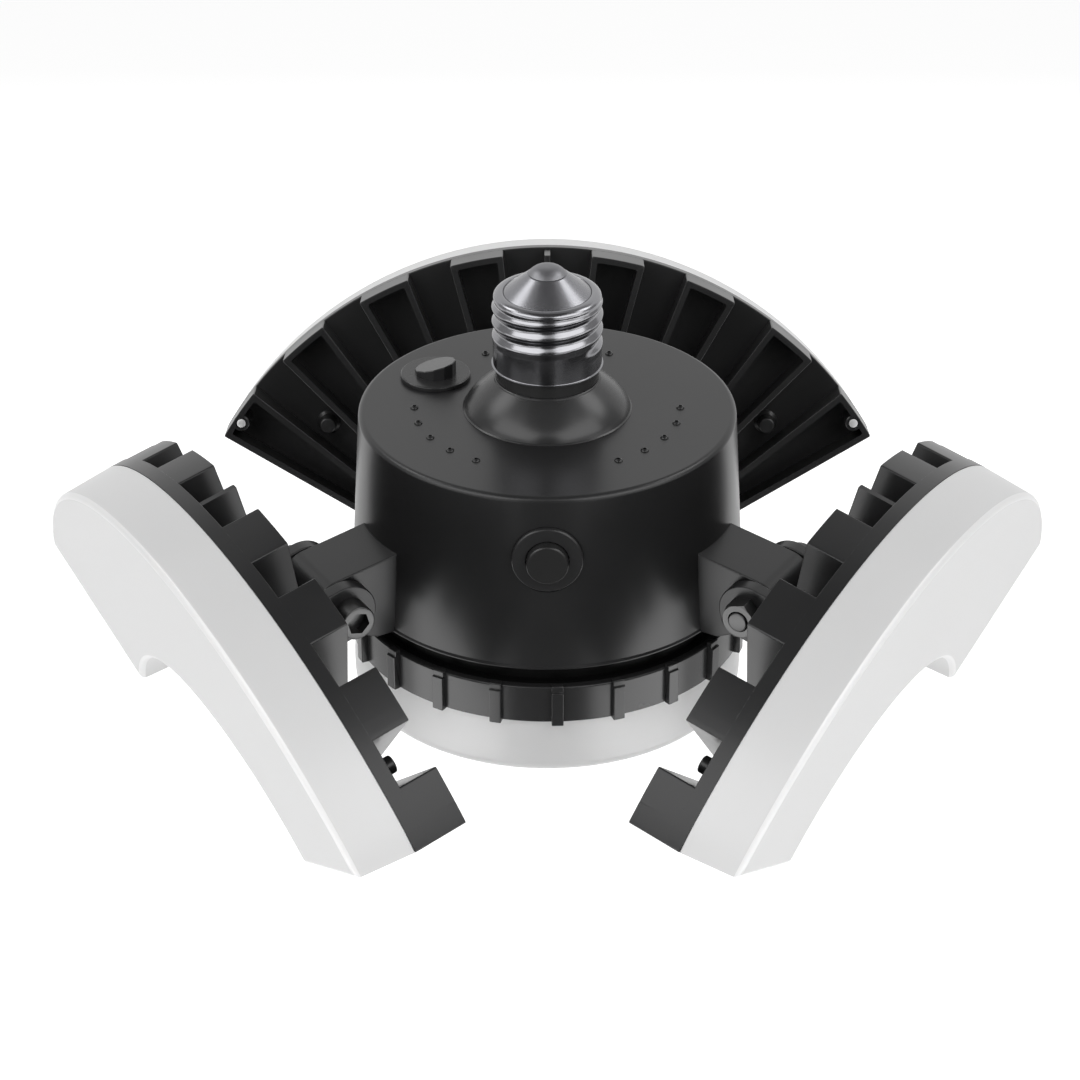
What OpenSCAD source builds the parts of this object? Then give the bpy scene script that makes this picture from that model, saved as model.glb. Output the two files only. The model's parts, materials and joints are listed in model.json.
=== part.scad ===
// Folding ceiling light: a screw-in lamp with a driver drum, a central lamp under it and
// three lamp panels that fold up and down on clamped hinges.
// Millimetres, +Z up. The origin is on the lamp's axis, where the screw shell's plain skirt
// starts above its rolled rim. A ceiling socket holds the shell from above.

/* [Screw cap] */
// Outer radius of the shell's plain skirt
skirt_r = 12.95; // [12.5:0.05:13.3]
// Height of the plain skirt
skirt_h = 3.9; // [2.5:0.1:4.5]
// Wall of the rolled shell
shell_wall = 0.5; // [0.3:0.05:0.7]
// How far the lower rim flares past the skirt
rim_flare = 0.35; // [0.2:0.05:0.8]
// Height of the flared rim
rim_h = 0.5; // [0.4:0.1:1]
// Pitch of the thread, seven turns to the inch
thread_pitch = 3.629; // [3:0.001:4.2]
// Height of the first crest, on the +X side
first_crest_z = 5.2; // [4.6:0.1:5.8]
// How far the crests stand past the skirt
crest_rise = 0.2; // [0.1:0.05:0.4]
// How deep the grooves lie under the skirt
groove_depth = 0.65; // [0.3:0.05:0.8]
// Height at which the thread runs into the shoulder
thread_top_z = 17.1; // [16.6:0.1:17.6]
// Radius of the ring where the shoulder meets the insulator
shoulder_r = 10.4; // [9.6:0.1:10.4]
// Height of the shoulder's crown
crown_z = 18.2; // [18:0.1:19]
// Height of the insulator's top, under the contact
insulator_top_z = 22.8; // [21.5:0.1:24]
// Radius of the centre contact
contact_r = 4.5; // [3.5:0.1:5]
// Height of the centre contact
contact_h = 1.9; // [1.2:0.1:2.5]

/* [Neck] */
// Radius of the dark collar under the shell
collar_r = 12.2; // [11.5:0.1:12.4]
// Height of the collar that shows under the shell
collar_h = 3.4; // [2:0.1:6]
// Width of the drum's flat top outside the neck cone
deck_w = 24.9; // [21.1:0.1:28.1]
// Height of the neck cone
neck_h = 8.4; // [6:0.1:14]
// Wall of the neck cone
neck_wall = 2; // [1.4:0.1:3]

/* [Drum] */
// Radius of the drum at its flat top
drum_top_r = 45.1; // [43:0.1:47]
// How much wider the drum is at its lower edge
drum_taper = 2.5; // [1.4:0.1:3.9]
// Height of the drum
drum_h = 44.2; // [42:0.1:56]
// Wall of the drum
drum_wall = 2; // [1.5:0.1:2.6]
// Radius of the rounded edge round the drum's top
drum_edge_r = 1.5; // [0.6:0.1:2.5]
// How far the vent holes lie in from the drum's top edge
vent_in = 13.4; // [11.1:0.1:17.1]
// Radius of one vent hole
vent_r = 0.85; // [0.5:0.05:1.4]
// Vent holes in one group
vent_count = 5; // [3:1:6]
// Angle between two vent holes
vent_step = 14.3; // [9:0.1:18]

/* [Hinge] */
// How far the hinge bolts stand past the drum's lower edge
hinge_out = 13; // [11.4:0.1:18.4]
// How far the hinge bolts lie under the drum's top
hinge_drop = 33; // [30:0.1:35]
// Angle that the panels are folded up from flat, as shown
fold_up = 74.7; // [40:0.1:88]
// Width of the bracket between a panel's two lugs
bracket_w = 17.3; // [14:0.1:22]
// Radius of the bracket's rounded nose
nose_r = 7; // [6:0.1:8]
// How far the bracket's root lies under the drum's top
bracket_drop = 23.2; // [20:0.1:26]
// How far the foot of the bracket reaches past the drum
bracket_foot = 3.7; // [2:0.1:4.5]
// Thickness of a lug on the panel
lug_t = 3.6; // [2.5:0.1:5]
// Radius of a lug round the bolt
lug_r = 7.1; // [6:0.1:8]
// Gap for the friction washer between a lug and the bracket
washer_t = 0.35; // [0.3:0.05:1]
// Radius of the hinge bolt's shank
bolt_r = 2.5; // [2:0.1:3]
// Radius of the bolt's round head
bolt_head_r = 4.25; // [3.5:0.05:5]
// Height of the bolt's round head
bolt_head_h = 5; // [3:0.1:6]
// Width of the hinge nut across its flats
nut_flats = 8; // [7:0.1:10]
// Height of the hinge nut
nut_h = 4; // [3:0.1:6]
// Running clearance round the bolt in the bracket
bolt_play = 0.06; // [0.02:0.01:0.1]

/* [Panel] */
// Outer radius of a panel, from the centre of its arc
panel_r = 98.9; // [92:0.1:110]
// Inner radius of a panel
panel_in_r = 53; // [51:0.1:56]
// Half of the angle that a panel spans
panel_half = 59.5; // [56:0.1:59.5]
// Distance from the centre of the panel's arc to its hinge bolt
hinge_reach = 59.7; // [57:0.1:60.5]
// How far the hinge bolt lies behind the panel's seam plane
hinge_back = 24.7; // [22:0.1:28]
// Full depth of the heat sink behind the seam plane
sink_h = 13; // [9:0.1:13.5]
// Thickness of the heat sink's base plate
sink_base = 3.7; // [2:0.1:5]
// Wall of the heat sink's cells
cell_wall = 1.4; // [1:0.1:1.8]
// Angle that one raised cell spans
cell_span = 8.2; // [6:0.1:9]
// Angle from the panel's middle to its first cell
first_cell = 6.7; // [5:0.1:7.5]
// Raised cells on each half of a panel
cell_count = 4; // [3:1:4]
// Depth of a panel's diffuser in front of the seam plane
diffuser_h = 14.3; // [10:0.1:18]
// How far the diffuser's end faces lean in towards its front
end_draft = 1.4; // [0.2:0.1:2]
// How far the diffuser's walls draw in towards its front
diffuser_draft = 0.55; // [0:0.05:1.5]
// Radius of the diffuser's front edges
diffuser_edge_r = 1.8; // [0.8:0.1:3]
// Wall of the diffusers
diffuser_wall = 1.8; // [1.2:0.1:2.5]

/* [Central lamp] */
// Height of the dark groove under the drum
groove_h = 4.6; // [3:0.1:7]
// How far the ribbed ring stands past the drum's lower edge
ring_step = 0.6; // [0:0.1:2.4]
// Height of the ribbed ring
ring_h = 9.6; // [8:0.1:14]
// Number of ribs round the ring
rib_count = 21; // [12:1:30]
// Width of one rib
rib_w = 2.8; // [1.5:0.1:4]
// How far a rib stands past the ring
rib_rise = 1.5; // [0.8:0.1:1.8]
// How far the central diffuser stands in from the ring
core_step = 0.5; // [0.2:0.1:1.4]
// Depth of the central diffuser under the ring
core_diffuser_h = 13.6; // [8:0.1:20]
// Radius of the central diffuser's lower edge
core_edge_r = 3; // [1.5:0.1:5]

/* [Sensor and button] */
// Radius of the light sensor's flange
sensor_flange_r = 8.5; // [7:0.1:9.5]
// Radius of the light sensor's cap
sensor_cap_r = 5; // [4:0.1:6]
// Height of the cap's low side over the flange
sensor_cap_h = 0.6; // [0.5:0.1:3]
// Slope of the cap's top
sensor_slope = 17; // [0:1:30]
// How far the light sensor lies in from the drum's top edge
sensor_in = 13.8; // [12.6:0.1:15.1]
// Radius of the bezel round the push button
bezel_r = 8.3; // [7:0.1:10]
// Radius of the push button
button_r = 4.9; // [4:0.1:5.5]
// How far the push button stands past the bezel
button_rise = 2.4; // [1.6:0.1:4]
// Travel of the push button
button_travel = 1; // [0.5:0.1:1.4]
// How far the button's centre lies under the drum's top
button_drop = 15.6; // [14:0.1:16]

/* [Hidden] */
$fn = 96;
// Overrun of a cut past the face that it opens
over = 1;
// Clearance of a round spigot in its seat
seat_gap = 0.1;
// Clearance all round the push button
button_gap = 0.3;
// The side of the unit shapes that named sizes scale
unit = 1;

PANEL_NAMES = ["rear", "left", "right"];
PANEL_AZIMUTHS = [90, 210, 330];

// Colours of the pieces
dark = [0.16, 0.16, 0.17];
black = [0.06, 0.06, 0.06];
steel = [0.62, 0.63, 0.66];
milk = [0.87, 0.87, 0.87];
board_white = [0.93, 0.93, 0.9];
board_green = [0.1, 0.35, 0.2];
led_yellow = [0.95, 0.85, 0.45];

// Radii that follow the drum's
neck_r = drum_top_r - deck_w;
drum_low_r = drum_top_r + drum_taper;
vent_ring_r = drum_top_r - vent_in;
sensor_ring_r = drum_top_r - sensor_in;
hinge_r = drum_low_r + hinge_out;
ring_r = drum_low_r + ring_step;
core_diffuser_r = ring_r - core_step;

// Heights of the main faces, from the origin above the shell's rim
collar_z = -rim_h - collar_h;
deck_z = collar_z - neck_h;
drum_foot_z = deck_z - drum_h;
ring_top_z = drum_foot_z - groove_h;
ring_foot_z = ring_top_z - ring_h;
pivot_z = deck_z - hinge_drop;

// A smooth step from 0 to 1
function ease(x) = let (c = min(unit, max(0, x))) c * c * (3 - 2 * c);

// Points along a round stretch of an outline, about a centre
function arc(centre, r, from, to, steps) =
    [for (i = [0:steps]) let (a = from + (to - from) * i / steps)
        centre + r * [cos(a), sin(a)]];

// Screw shell
thread_sides = 36;
thread_rows = 26;
thread_low_z = skirt_h - shell_wall;
// Angle at which the first crest begins to rise, and how far it takes to rise
thread_start = -55;
thread_rise = 40;
// Height over which the thread fades into the shoulder
thread_fade = 1.6;
// Share of the groove's depth that is left at the top of the thread
shoulder_share = 0.5;
shoulder_top_r = skirt_r - groove_depth * shoulder_share;
crown_r = skirt_r - 4 * shell_wall;
// Radius of the hole in the shell's top that the insulator fills
shell_mouth_r = shoulder_r - shell_wall;
dish_z = crown_z - shell_wall;

// Radius of the shell's outside at an azimuth and a height
function thread_r(a, z) =
    let (
        turn = (z - first_crest_z) / thread_pitch - a / 360,
        k = round(turn),
        offset_share = turn - k,
        along = 360 * k + a,
        bump = 0.5 + 0.5 * cos(360 * offset_share),
        crest = ease((along - thread_start) / thread_rise),
        last = offset_share < 0 ? along - 360 : along,
        groove = ease((last - thread_start) / thread_rise),
        keep = ease((thread_top_z - z) / thread_fade)
    )
    skirt_r - groove_depth * (keep * groove * (unit - bump) + (unit - keep) * shoulder_share)
        + crest_rise * bump * crest * keep;

// One ring of points on the shell, of a fixed radius
function plain_ring(r, z) =
    [for (i = [0:thread_sides - 1]) let (a = 360 * i / thread_sides)
        [r * cos(a), r * sin(a), z]];

// One ring of points on the threaded outside
function thread_ring(z) =
    [for (i = [0:thread_sides - 1])
        let (a = 360 * i / thread_sides, r = thread_r(a, z))
        [r * cos(a), r * sin(a), z]];

shell_bore_r = skirt_r - groove_depth - shell_wall;
shell_rings = concat(
    [
        plain_ring(skirt_r - shell_wall / 2, thread_low_z),
        plain_ring(skirt_r - shell_wall / 2, skirt_h + shell_wall / 8)
    ],
    [for (j = [0:thread_rows])
        thread_ring(skirt_h + shell_wall / 4
            + (thread_top_z - skirt_h - shell_wall / 4) * j / thread_rows)],
    [
        plain_ring((2 * shoulder_top_r + crown_r) / 3, (thread_top_z + 2 * crown_z) / 3),
        plain_ring(crown_r, crown_z),
        plain_ring(shoulder_r, dish_z),
        plain_ring(shell_mouth_r, dish_z),
        plain_ring(shell_mouth_r, dish_z - shell_wall),
        plain_ring(crown_r - shell_wall, crown_z - 2 * shell_wall),
        plain_ring(shell_bore_r, thread_top_z - shell_wall),
        plain_ring(shell_bore_r + shell_wall / 4, thread_low_z)
    ]
);

// A closed skin through rings of points, joined round from the last ring to the first
module ring_skin(rings) {
    n = len(rings[0]);
    m = len(rings);
    polyhedron(
        points = [for (ring = rings) each ring],
        faces = [for (j = [0:m - 1], i = [0:n - 1])
            let (
                jn = (j + 1) % m,
                k = (i + 1) % n,
                a = j * n + i,
                b = jn * n + i,
                c = jn * n + k,
                d = j * n + k
            )
            each [[a, b, c], [a, c, d]]]
    );
}

module screw_shell() {
    color(steel) {
        ring_skin(shell_rings);
        rotate_extrude()
            polygon([
                [shell_bore_r, -rim_h],
                [skirt_r + rim_flare, -rim_h],
                [skirt_r + rim_flare, -rim_h / 3],
                [skirt_r, 0],
                [skirt_r, skirt_h],
                [shell_bore_r, skirt_h]
            ]);
    }
}

// The insulator fills the shell's mouth and carries the contact
insulator_flange_h = shell_wall * 2;
contact_stem_r = contact_r / 3;
contact_foot = contact_h;

module cap_insulator() {
    color(black)
        rotate_extrude()
            polygon([
                [contact_stem_r, dish_z - shell_wall - insulator_flange_h],
                [shoulder_r, dish_z - shell_wall - insulator_flange_h],
                [shoulder_r, dish_z - shell_wall],
                [shell_mouth_r - seat_gap, dish_z - shell_wall],
                [shell_mouth_r - seat_gap, dish_z],
                [contact_r + seat_gap, insulator_top_z - shell_wall],
                [contact_r, insulator_top_z],
                [contact_stem_r, insulator_top_z]
            ]);
}

module centre_contact() {
    steps = 10;
    fullness = 3;
    color(steel)
        rotate_extrude()
            polygon(concat(
                [
                    [0, dish_z - shell_wall - insulator_flange_h - contact_foot / 2],
                    [contact_stem_r, dish_z - shell_wall - insulator_flange_h - contact_foot / 2],
                    [contact_stem_r, insulator_top_z]
                ],
                [for (k = [steps:-1:0])
                    let (share = k / steps)
                    [contact_r * share, insulator_top_z + contact_h * (1 - pow(share, fullness))]]
            ));
}

// The collar's spigot goes up into the shell
spigot_h = skirt_h;
cable_r = collar_r - 3 * neck_wall / 2;

module neck_collar() {
    color(black)
        rotate_extrude()
            polygon([
                [cable_r, collar_z],
                [collar_r, collar_z],
                [collar_r, -rim_h],
                [shell_bore_r - seat_gap, -rim_h],
                [shell_bore_r - seat_gap, spigot_h],
                [cable_r, spigot_h]
            ]);
}

module neck_cone() {
    edge = neck_wall / 4;
    top_r = collar_r + edge;
    steps = 10;
    // The side bulges: it is a curve from its foot to its top that this third point draws out
    foot = [neck_r, deck_z + edge];
    bulge = [neck_r - 2 * edge, deck_z + 2 * neck_h / 5];
    tip = [top_r, deck_z + neck_h - edge];
    color(dark)
        rotate_extrude()
            polygon(concat(
                [[neck_r - 2 * neck_wall, deck_z], [neck_r, deck_z]],
                [for (k = [0:steps])
                    let (t = k / steps)
                    (1 - t) * (1 - t) * foot + 2 * t * (1 - t) * bulge + t * t * tip],
                [
                    [top_r - edge, deck_z + neck_h],
                    [cable_r, deck_z + neck_h],
                    [cable_r, deck_z + neck_h - neck_wall]
                ]
            ));
}

// Drum
deck_t = drum_wall;
drum_slope = (drum_low_r - drum_top_r) / drum_h;
function drum_r_at(drop) = drum_top_r + drum_slope * drop;
// Half of the washer-to-washer width, and of the width over both lugs
bracket_half = bracket_w / 2;
lug_in = bracket_half + washer_t;
lug_out = lug_in + lug_t;
// Posts for the central lamp's screws
post_r = 3.4;
// Gap between the posts and the drum's wall at its top
post_gap = 1.7;
post_ring_r = drum_top_r - drum_wall - post_r - post_gap;
screw_r = 1.2;
screw_head_r = 2.6;
screw_head_h = 1.7;
post_azimuths = [60, 180, 300];
// Posts for the driver board, and the board between the longer posts
stud_r = 3;
stud_gap = 4.6;
stud_ring_r = post_ring_r - post_r - stud_gap - stud_r;
screw_l = 9;
board_t = 1.6;
board_drop = 24;
board_gap = 1.6;
board_r = post_ring_r - post_r - board_gap;

// Side view of a bracket: across is the distance from the lamp's axis, up is height
module bracket_outline() {
    root = drum_low_r - drum_wall;
    lean = 14;
    translate([hinge_r, pivot_z])
        circle(nose_r);
    polygon([
        [root, deck_z - bracket_drop],
        [drum_r_at(bracket_drop), deck_z - bracket_drop],
        [hinge_r + nose_r * sin(lean), pivot_z + nose_r * cos(lean)],
        [hinge_r, pivot_z],
        [hinge_r, pivot_z - nose_r],
        [drum_low_r + bracket_foot, drum_foot_z],
        [root, drum_foot_z]
    ]);
}

module at_azimuths(list) {
    for (a = list)
        rotate([0, 0, a])
            children();
}

module on_wall(drop) {
    translate([0, -drum_r_at(drop), deck_z - drop])
        rotate([90, 0, 0])
            children();
}

sensor_azimuth = 150;
sensor_stem_r = 3;
switch_w = 6;

module driver_housing() {
    color(dark)
        difference() {
            union() {
                rotate_extrude()
                    polygon(concat(
                        [
                            [0, deck_z - deck_t],
                            [drum_top_r - drum_wall, deck_z - deck_t],
                            [drum_low_r - drum_wall, drum_foot_z],
                            [drum_low_r, drum_foot_z]
                        ],
                        arc([drum_top_r - drum_edge_r, deck_z - drum_edge_r],
                            drum_edge_r, 0, 90, 6),
                        [[0, deck_z]]
                    ));
                at_azimuths(PANEL_AZIMUTHS)
                    rotate([90, 0, 0])
                        linear_extrude(bracket_w, center = true)
                            bracket_outline();
                at_azimuths(post_azimuths)
                    translate([post_ring_r, 0, ring_top_z])
                        cylinder(r = post_r, h = drum_h + groove_h - deck_t / 2);
                at_azimuths(post_azimuths)
                    translate([stud_ring_r, 0, deck_z - board_drop])
                        cylinder(r = stud_r, h = board_drop - deck_t / 2);
            }
            at_azimuths(PANEL_AZIMUTHS)
                translate([hinge_r, 0, pivot_z])
                    rotate([90, 0, 0])
                        cylinder(r = bolt_r + bolt_play, h = bracket_w + 2 * over, center = true);
            translate([0, 0, deck_z - deck_t - over])
                cylinder(r = cable_r, h = deck_t + 2 * over);
            at_azimuths(PANEL_AZIMUTHS)
                for (i = [0:vent_count - 1])
                    rotate([0, 0, (i - (vent_count - 1) / 2) * vent_step])
                        translate([vent_ring_r, 0, deck_z - deck_t - over])
                            cylinder(r = vent_r, h = deck_t + 2 * over, $fn = 24);
            rotate([0, 0, sensor_azimuth])
                translate([sensor_ring_r, 0, deck_z - deck_t - over])
                    cylinder(r = sensor_stem_r + seat_gap, h = deck_t + 2 * over, $fn = 48);
            on_wall(button_drop) {
                cylinder(r = button_r + button_gap, h = 2 * (drum_wall + over), center = true);
                translate([0, 0, -bezel_seat])
                    cylinder(r = bezel_r + seat_gap, h = bezel_seat + over);
            }
            at_azimuths(post_azimuths)
                translate([post_ring_r, 0, ring_top_z - over])
                    cylinder(r = screw_r, h = screw_l + over, $fn = 32);
            at_azimuths(post_azimuths)
                translate([stud_ring_r, 0, deck_z - board_drop - over])
                    cylinder(r = screw_r, h = screw_l + over, $fn = 32);
        }
}

// Light sensor on the drum's top
sensor_flange_t = 1.2;
sensor_lean_azimuth = 147;
// How far the sensor's stem reaches under the drum's top
sensor_stem_under = 4;
sensor_stem_l = deck_t + sensor_stem_under;

module at_sensor() {
    rotate([0, 0, sensor_azimuth])
        translate([sensor_ring_r, 0, deck_z])
            rotate([0, 0, sensor_lean_azimuth - sensor_azimuth])
                children();
}

module light_sensor_base() {
    color(dark)
        at_sensor() {
            rotate_extrude()
                polygon([
                    [0, 0],
                    [sensor_flange_r, 0],
                    [sensor_flange_r, sensor_flange_t / 2],
                    [sensor_flange_r - sensor_flange_t / 2, sensor_flange_t],
                    [0, sensor_flange_t]
                ]);
            translate([0, 0, -sensor_stem_l])
                cylinder(r = sensor_stem_r, h = sensor_stem_l + sensor_flange_t / 2, $fn = 48);
        }
}

sensor_facets = 12;

module light_sensor_cap() {
    reach = sensor_cap_r + over;
    color([0.3, 0.3, 0.31])
        at_sensor()
            translate([0, 0, sensor_flange_t])
                intersection() {
                    cylinder(r = sensor_cap_r, h = 4 * sensor_cap_r, $fn = sensor_facets);
                    rotate([90, 0, 0])
                        linear_extrude(2 * reach, center = true)
                            polygon([
                                [-reach, 0],
                                [reach, 0],
                                [reach, sensor_cap_h],
                                [-reach, sensor_cap_h + 2 * reach * tan(sensor_slope)]
                            ]);
                }
}

// Push button in the drum's wall
bezel_t = 1.5;
// How deep the bezel's flat seat is cut into the drum's round wall
bezel_seat = 0.9;
button_collar = 1.3;
collar_t = 1.5;
// Where the collar lies clear of the drum's curved inside
wall_in_r = drum_r_at(button_drop) - drum_wall;
collar_face = sqrt(pow(wall_in_r - drum_slope * bezel_r, 2) - pow(button_r + button_collar, 2))
    - button_gap;
bezel_back = drum_r_at(button_drop) - bezel_seat;
button_face = bezel_back + bezel_t + button_rise;
stem_r = 2;
stem_l = 6;

module at_button(r) {
    translate([0, -r, deck_z - button_drop])
        rotate([90, 0, 0])
            children();
}

module button_bezel() {
    color(dark)
        at_button(bezel_back)
            rotate_extrude()
                polygon([
                    [button_r + button_gap, 0],
                    [bezel_r, 0],
                    [bezel_r, bezel_t - 2 * seat_gap],
                    [bezel_r - 2 * seat_gap, bezel_t],
                    [button_r + button_gap, bezel_t]
                ]);
}

module push_button() {
    edge = button_gap;
    color(black)
        at_button(0)
            rotate_extrude()
                polygon([
                    [0, collar_face - collar_t - stem_l],
                    [stem_r, collar_face - collar_t - stem_l],
                    [stem_r, collar_face - collar_t],
                    [button_r + button_collar, collar_face - collar_t],
                    [button_r + button_collar, collar_face],
                    [button_r, collar_face],
                    [button_r, button_face - edge],
                    [button_r - edge, button_face],
                    [0, button_face]
                ]);
}

// The tact switch stands on the driver board behind the button's stem
switch_face = collar_face - collar_t - stem_l - button_travel - seat_gap / 2;
plunger_l = 1;

module tact_switch() {
    color(black) {
        translate([-switch_w / 2, -(switch_face - plunger_l), deck_z - board_drop])
            cube([switch_w, switch_w, board_drop - button_drop + switch_w / 2]);
        at_button(switch_face - 2 * plunger_l)
            cylinder(r = stem_r, h = 2 * plunger_l, $fn = 32);
    }
}

// Driver board and its parts, hung on the studs
module driver_board() {
    color(board_green)
        difference() {
            translate([0, 0, deck_z - board_drop - board_t])
                cylinder(r = board_r, h = board_t);
            at_azimuths(post_azimuths)
                translate([stud_ring_r, 0, deck_z - board_drop - board_t - over])
                    cylinder(r = screw_r + seat_gap, h = board_t + 2 * over, $fn = 32);
        }
}

board_under_z = deck_z - board_drop - board_t;
// The parts on the board are as large as it carries, as shares of its radius
transformer = board_r * [0.6, 0.48, 0.4];
bobbin_over = board_r * 0.045;
capacitor_r = board_r * 0.15;
capacitor_l = board_r * 0.36;
inductor_r = board_r * 0.135;
inductor_l = board_r * 0.27;
terminal = board_r * [0.36, 0.21, 0.24];

module driver_transformer() {
    color([0.75, 0.7, 0.3])
        translate([-transformer[0] / 2, 0, board_under_z - transformer[2]]) {
            cube(transformer);
            translate([bobbin_over * 2, -bobbin_over, bobbin_over * 2])
                cube([
                    transformer[0] - 4 * bobbin_over,
                    transformer[1] + 2 * bobbin_over,
                    transformer[2] - 4 * bobbin_over
                ]);
        }
}

module driver_capacitors() {
    color([0.12, 0.14, 0.2])
        for (side = [-1, 1])
            translate([side * (capacitor_r + seat_gap), -2 * capacitor_r, board_under_z - capacitor_l])
                cylinder(r = capacitor_r, h = capacitor_l, $fn = 48);
}

module driver_inductor() {
    flange = inductor_l / 6;
    color([0.6, 0.32, 0.15])
        translate([-board_r / 2, 0, board_under_z - inductor_l])
            rotate_extrude()
                polygon([
                    [0, 0],
                    [inductor_r, 0],
                    [inductor_r, flange],
                    [inductor_r - flange / 2, flange],
                    [inductor_r - flange / 2, inductor_l - flange],
                    [inductor_r, inductor_l - flange],
                    [inductor_r, inductor_l],
                    [0, inductor_l]
                ]);
}

module driver_terminal() {
    color([0.1, 0.4, 0.3])
        translate([board_r / 2, -terminal[1] / 2, board_under_z - terminal[2]])
            difference() {
                cube(terminal);
                for (i = [1, 3])
                    translate([terminal[0] * i / 4, terminal[1] / 2, -over])
                        cylinder(r = screw_r, h = terminal[2] / 2 + over, $fn = 24);
            }
}

// A screw with a domed head under the face z = 0 and its shank above it
module screw(l, r, head_r, head_h) {
    rotate_extrude($fn = 48)
        polygon(concat(
            [[0, l], [0, -head_h]],
            arc([head_r - head_h / 2, -head_h / 2], head_h / 2, -90, 0, 4),
            [[head_r, 0], [r, 0], [r, l]]
        ));
}

module driver_screws() {
    color(steel)
        at_azimuths(post_azimuths)
            translate([stud_ring_r, 0, board_under_z])
                screw(screw_l - over, screw_r - seat_gap, screw_head_r, screw_head_h);
}

// Central lamp
plate_gap = 1.1;
plate_r = drum_low_r - drum_wall - plate_gap;
plate_t = 2.5;
plate_flange_r = ring_r - drum_wall + seat_gap;
core_board_margin = 1.5;
core_board_r = plate_r - core_board_margin;
core_board_t = 1.2;
ring_lip = 1.5;

module core_plate() {
    rim = drum_wall;
    color(black)
        difference() {
            rotate_extrude()
                polygon([
                    [0, ring_top_z],
                    [plate_r - rim, ring_top_z],
                    [plate_r - rim, drum_foot_z + rim],
                    [plate_r, drum_foot_z + rim],
                    [plate_r, ring_top_z],
                    [plate_flange_r, ring_top_z],
                    [plate_flange_r, ring_top_z - plate_t],
                    [0, ring_top_z - plate_t]
                ]);
            at_azimuths(post_azimuths)
                translate([post_ring_r, 0, ring_top_z - plate_t - over])
                    cylinder(r = screw_r + seat_gap, h = plate_t + 2 * over, $fn = 32);
        }
}

rib_step = 360 / rib_count;
rib_azimuth = 2.8;
rib_over = 1;
rib_nick = 0.5;

module lock_ring() {
    color(dark)
        difference() {
            union() {
                rotate_extrude()
                    polygon([
                        [plate_flange_r + seat_gap, ring_top_z],
                        [ring_r - rib_nick, ring_top_z],
                        [ring_r, ring_top_z - rib_nick],
                        [ring_r, ring_foot_z],
                        [plate_flange_r + seat_gap, ring_foot_z],
                        [plate_flange_r + seat_gap, ring_top_z - plate_t - ring_lip],
                        [plate_flange_r - ring_lip, ring_top_z - plate_t - ring_lip],
                        [plate_flange_r - ring_lip, ring_top_z - plate_t],
                        [plate_flange_r + seat_gap, ring_top_z - plate_t]
                    ]);
                for (i = [0:rib_count - 1])
                    rotate([0, 0, rib_azimuth + 270 + i * rib_step])
                        translate([ring_r - rib_nick, -rib_w / 2, ring_foot_z - rib_nick / 2])
                            cube([rib_rise + rib_nick, rib_w, ring_h + rib_over + rib_nick / 2]);
            }
            for (i = [0:rib_count - 1])
                rotate([0, 0, rib_azimuth + 270 + i * rib_step])
                    translate([ring_r + rib_rise - rib_nick, 0, ring_top_z - rib_over / 2])
                        cube([2 * rib_nick + over, rib_w + over, 2 * rib_nick], center = true);
        }
}

core_board_z = ring_top_z - plate_t - core_board_t;

module core_board() {
    color(board_white)
        difference() {
            translate([0, 0, core_board_z])
                cylinder(r = core_board_r, h = core_board_t);
            at_azimuths(post_azimuths)
                translate([post_ring_r, 0, core_board_z - over])
                    cylinder(r = screw_r + seat_gap, h = core_board_t + 2 * over, $fn = 32);
        }
}

// A light-emitting chip hung under the face z = 0
led_w = 3;
led_t = 0.8;
module led() {
    translate([-led_w / 2, -led_w / 2, -led_t])
        cube([led_w, led_w, led_t]);
}

core_led_rings = 3;
core_led_step = board_r / core_led_rings;
core_led_share = 6;

module core_leds() {
    color(led_yellow)
        for (ring = [1:core_led_rings], i = [0:core_led_share * ring - 1])
            rotate([0, 0, 360 * (i + 0.5) / (core_led_share * ring)])
                translate([core_led_step * ring, 0, core_board_z])
                    led();
}

core_foot_z = ring_foot_z - core_diffuser_h;
core_spigot_h = ring_h - plate_t - ring_lip - seat_gap;

module core_diffuser() {
    w = diffuser_wall;
    spigot_r = plate_flange_r;
    color(milk)
        rotate_extrude()
            polygon(concat(
                [
                    [0, core_foot_z + w],
                    [core_diffuser_r - core_edge_r, core_foot_z + w]
                ],
                arc([core_diffuser_r - core_edge_r, core_foot_z + core_edge_r],
                    core_edge_r - w, -90, 0, 6),
                [
                    [core_diffuser_r - w, ring_foot_z - w],
                    [spigot_r - w, ring_foot_z],
                    [spigot_r - w, ring_foot_z + core_spigot_h],
                    [spigot_r, ring_foot_z + core_spigot_h],
                    [spigot_r, ring_foot_z],
                    [core_diffuser_r, ring_foot_z]
                ],
                arc([core_diffuser_r - core_edge_r, core_foot_z + core_edge_r],
                    core_edge_r, 0, -90, 8),
                [[0, core_foot_z]]
            ));
}

module core_screws() {
    color(steel)
        at_azimuths(post_azimuths)
            translate([post_ring_r, 0, core_board_z])
                screw(screw_l, screw_r - seat_gap, screw_head_r, screw_head_h);
}

// Panels. Each is drawn flat: X runs out along its middle, Z is up and the seam plane is z = 0.
cell_pitch = (panel_half - cell_span - first_cell) / (cell_count - 1);
fin_half = 0.6;
wedge_reach = 2 * panel_r;

// A wedge from a1 to a2 whose sides are drawn in by inset
module wedge(a1, a2, inset) {
    middle = (a1 + a2) / 2;
    half = (a2 - a1) / 2;
    rotate(middle)
        translate([inset / sin(half), 0])
            polygon(concat([[0, 0]],
                [for (s = [-1, 0, 1]) wedge_reach * [cos(s * half), sin(s * half)]]));
}

module sector(r_in, r_out, a1, a2, inset) {
    intersection() {
        difference() {
            circle(r_out, $fn = 180);
            circle(r_in, $fn = 180);
        }
        wedge(a1, a2, inset);
    }
}

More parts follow.
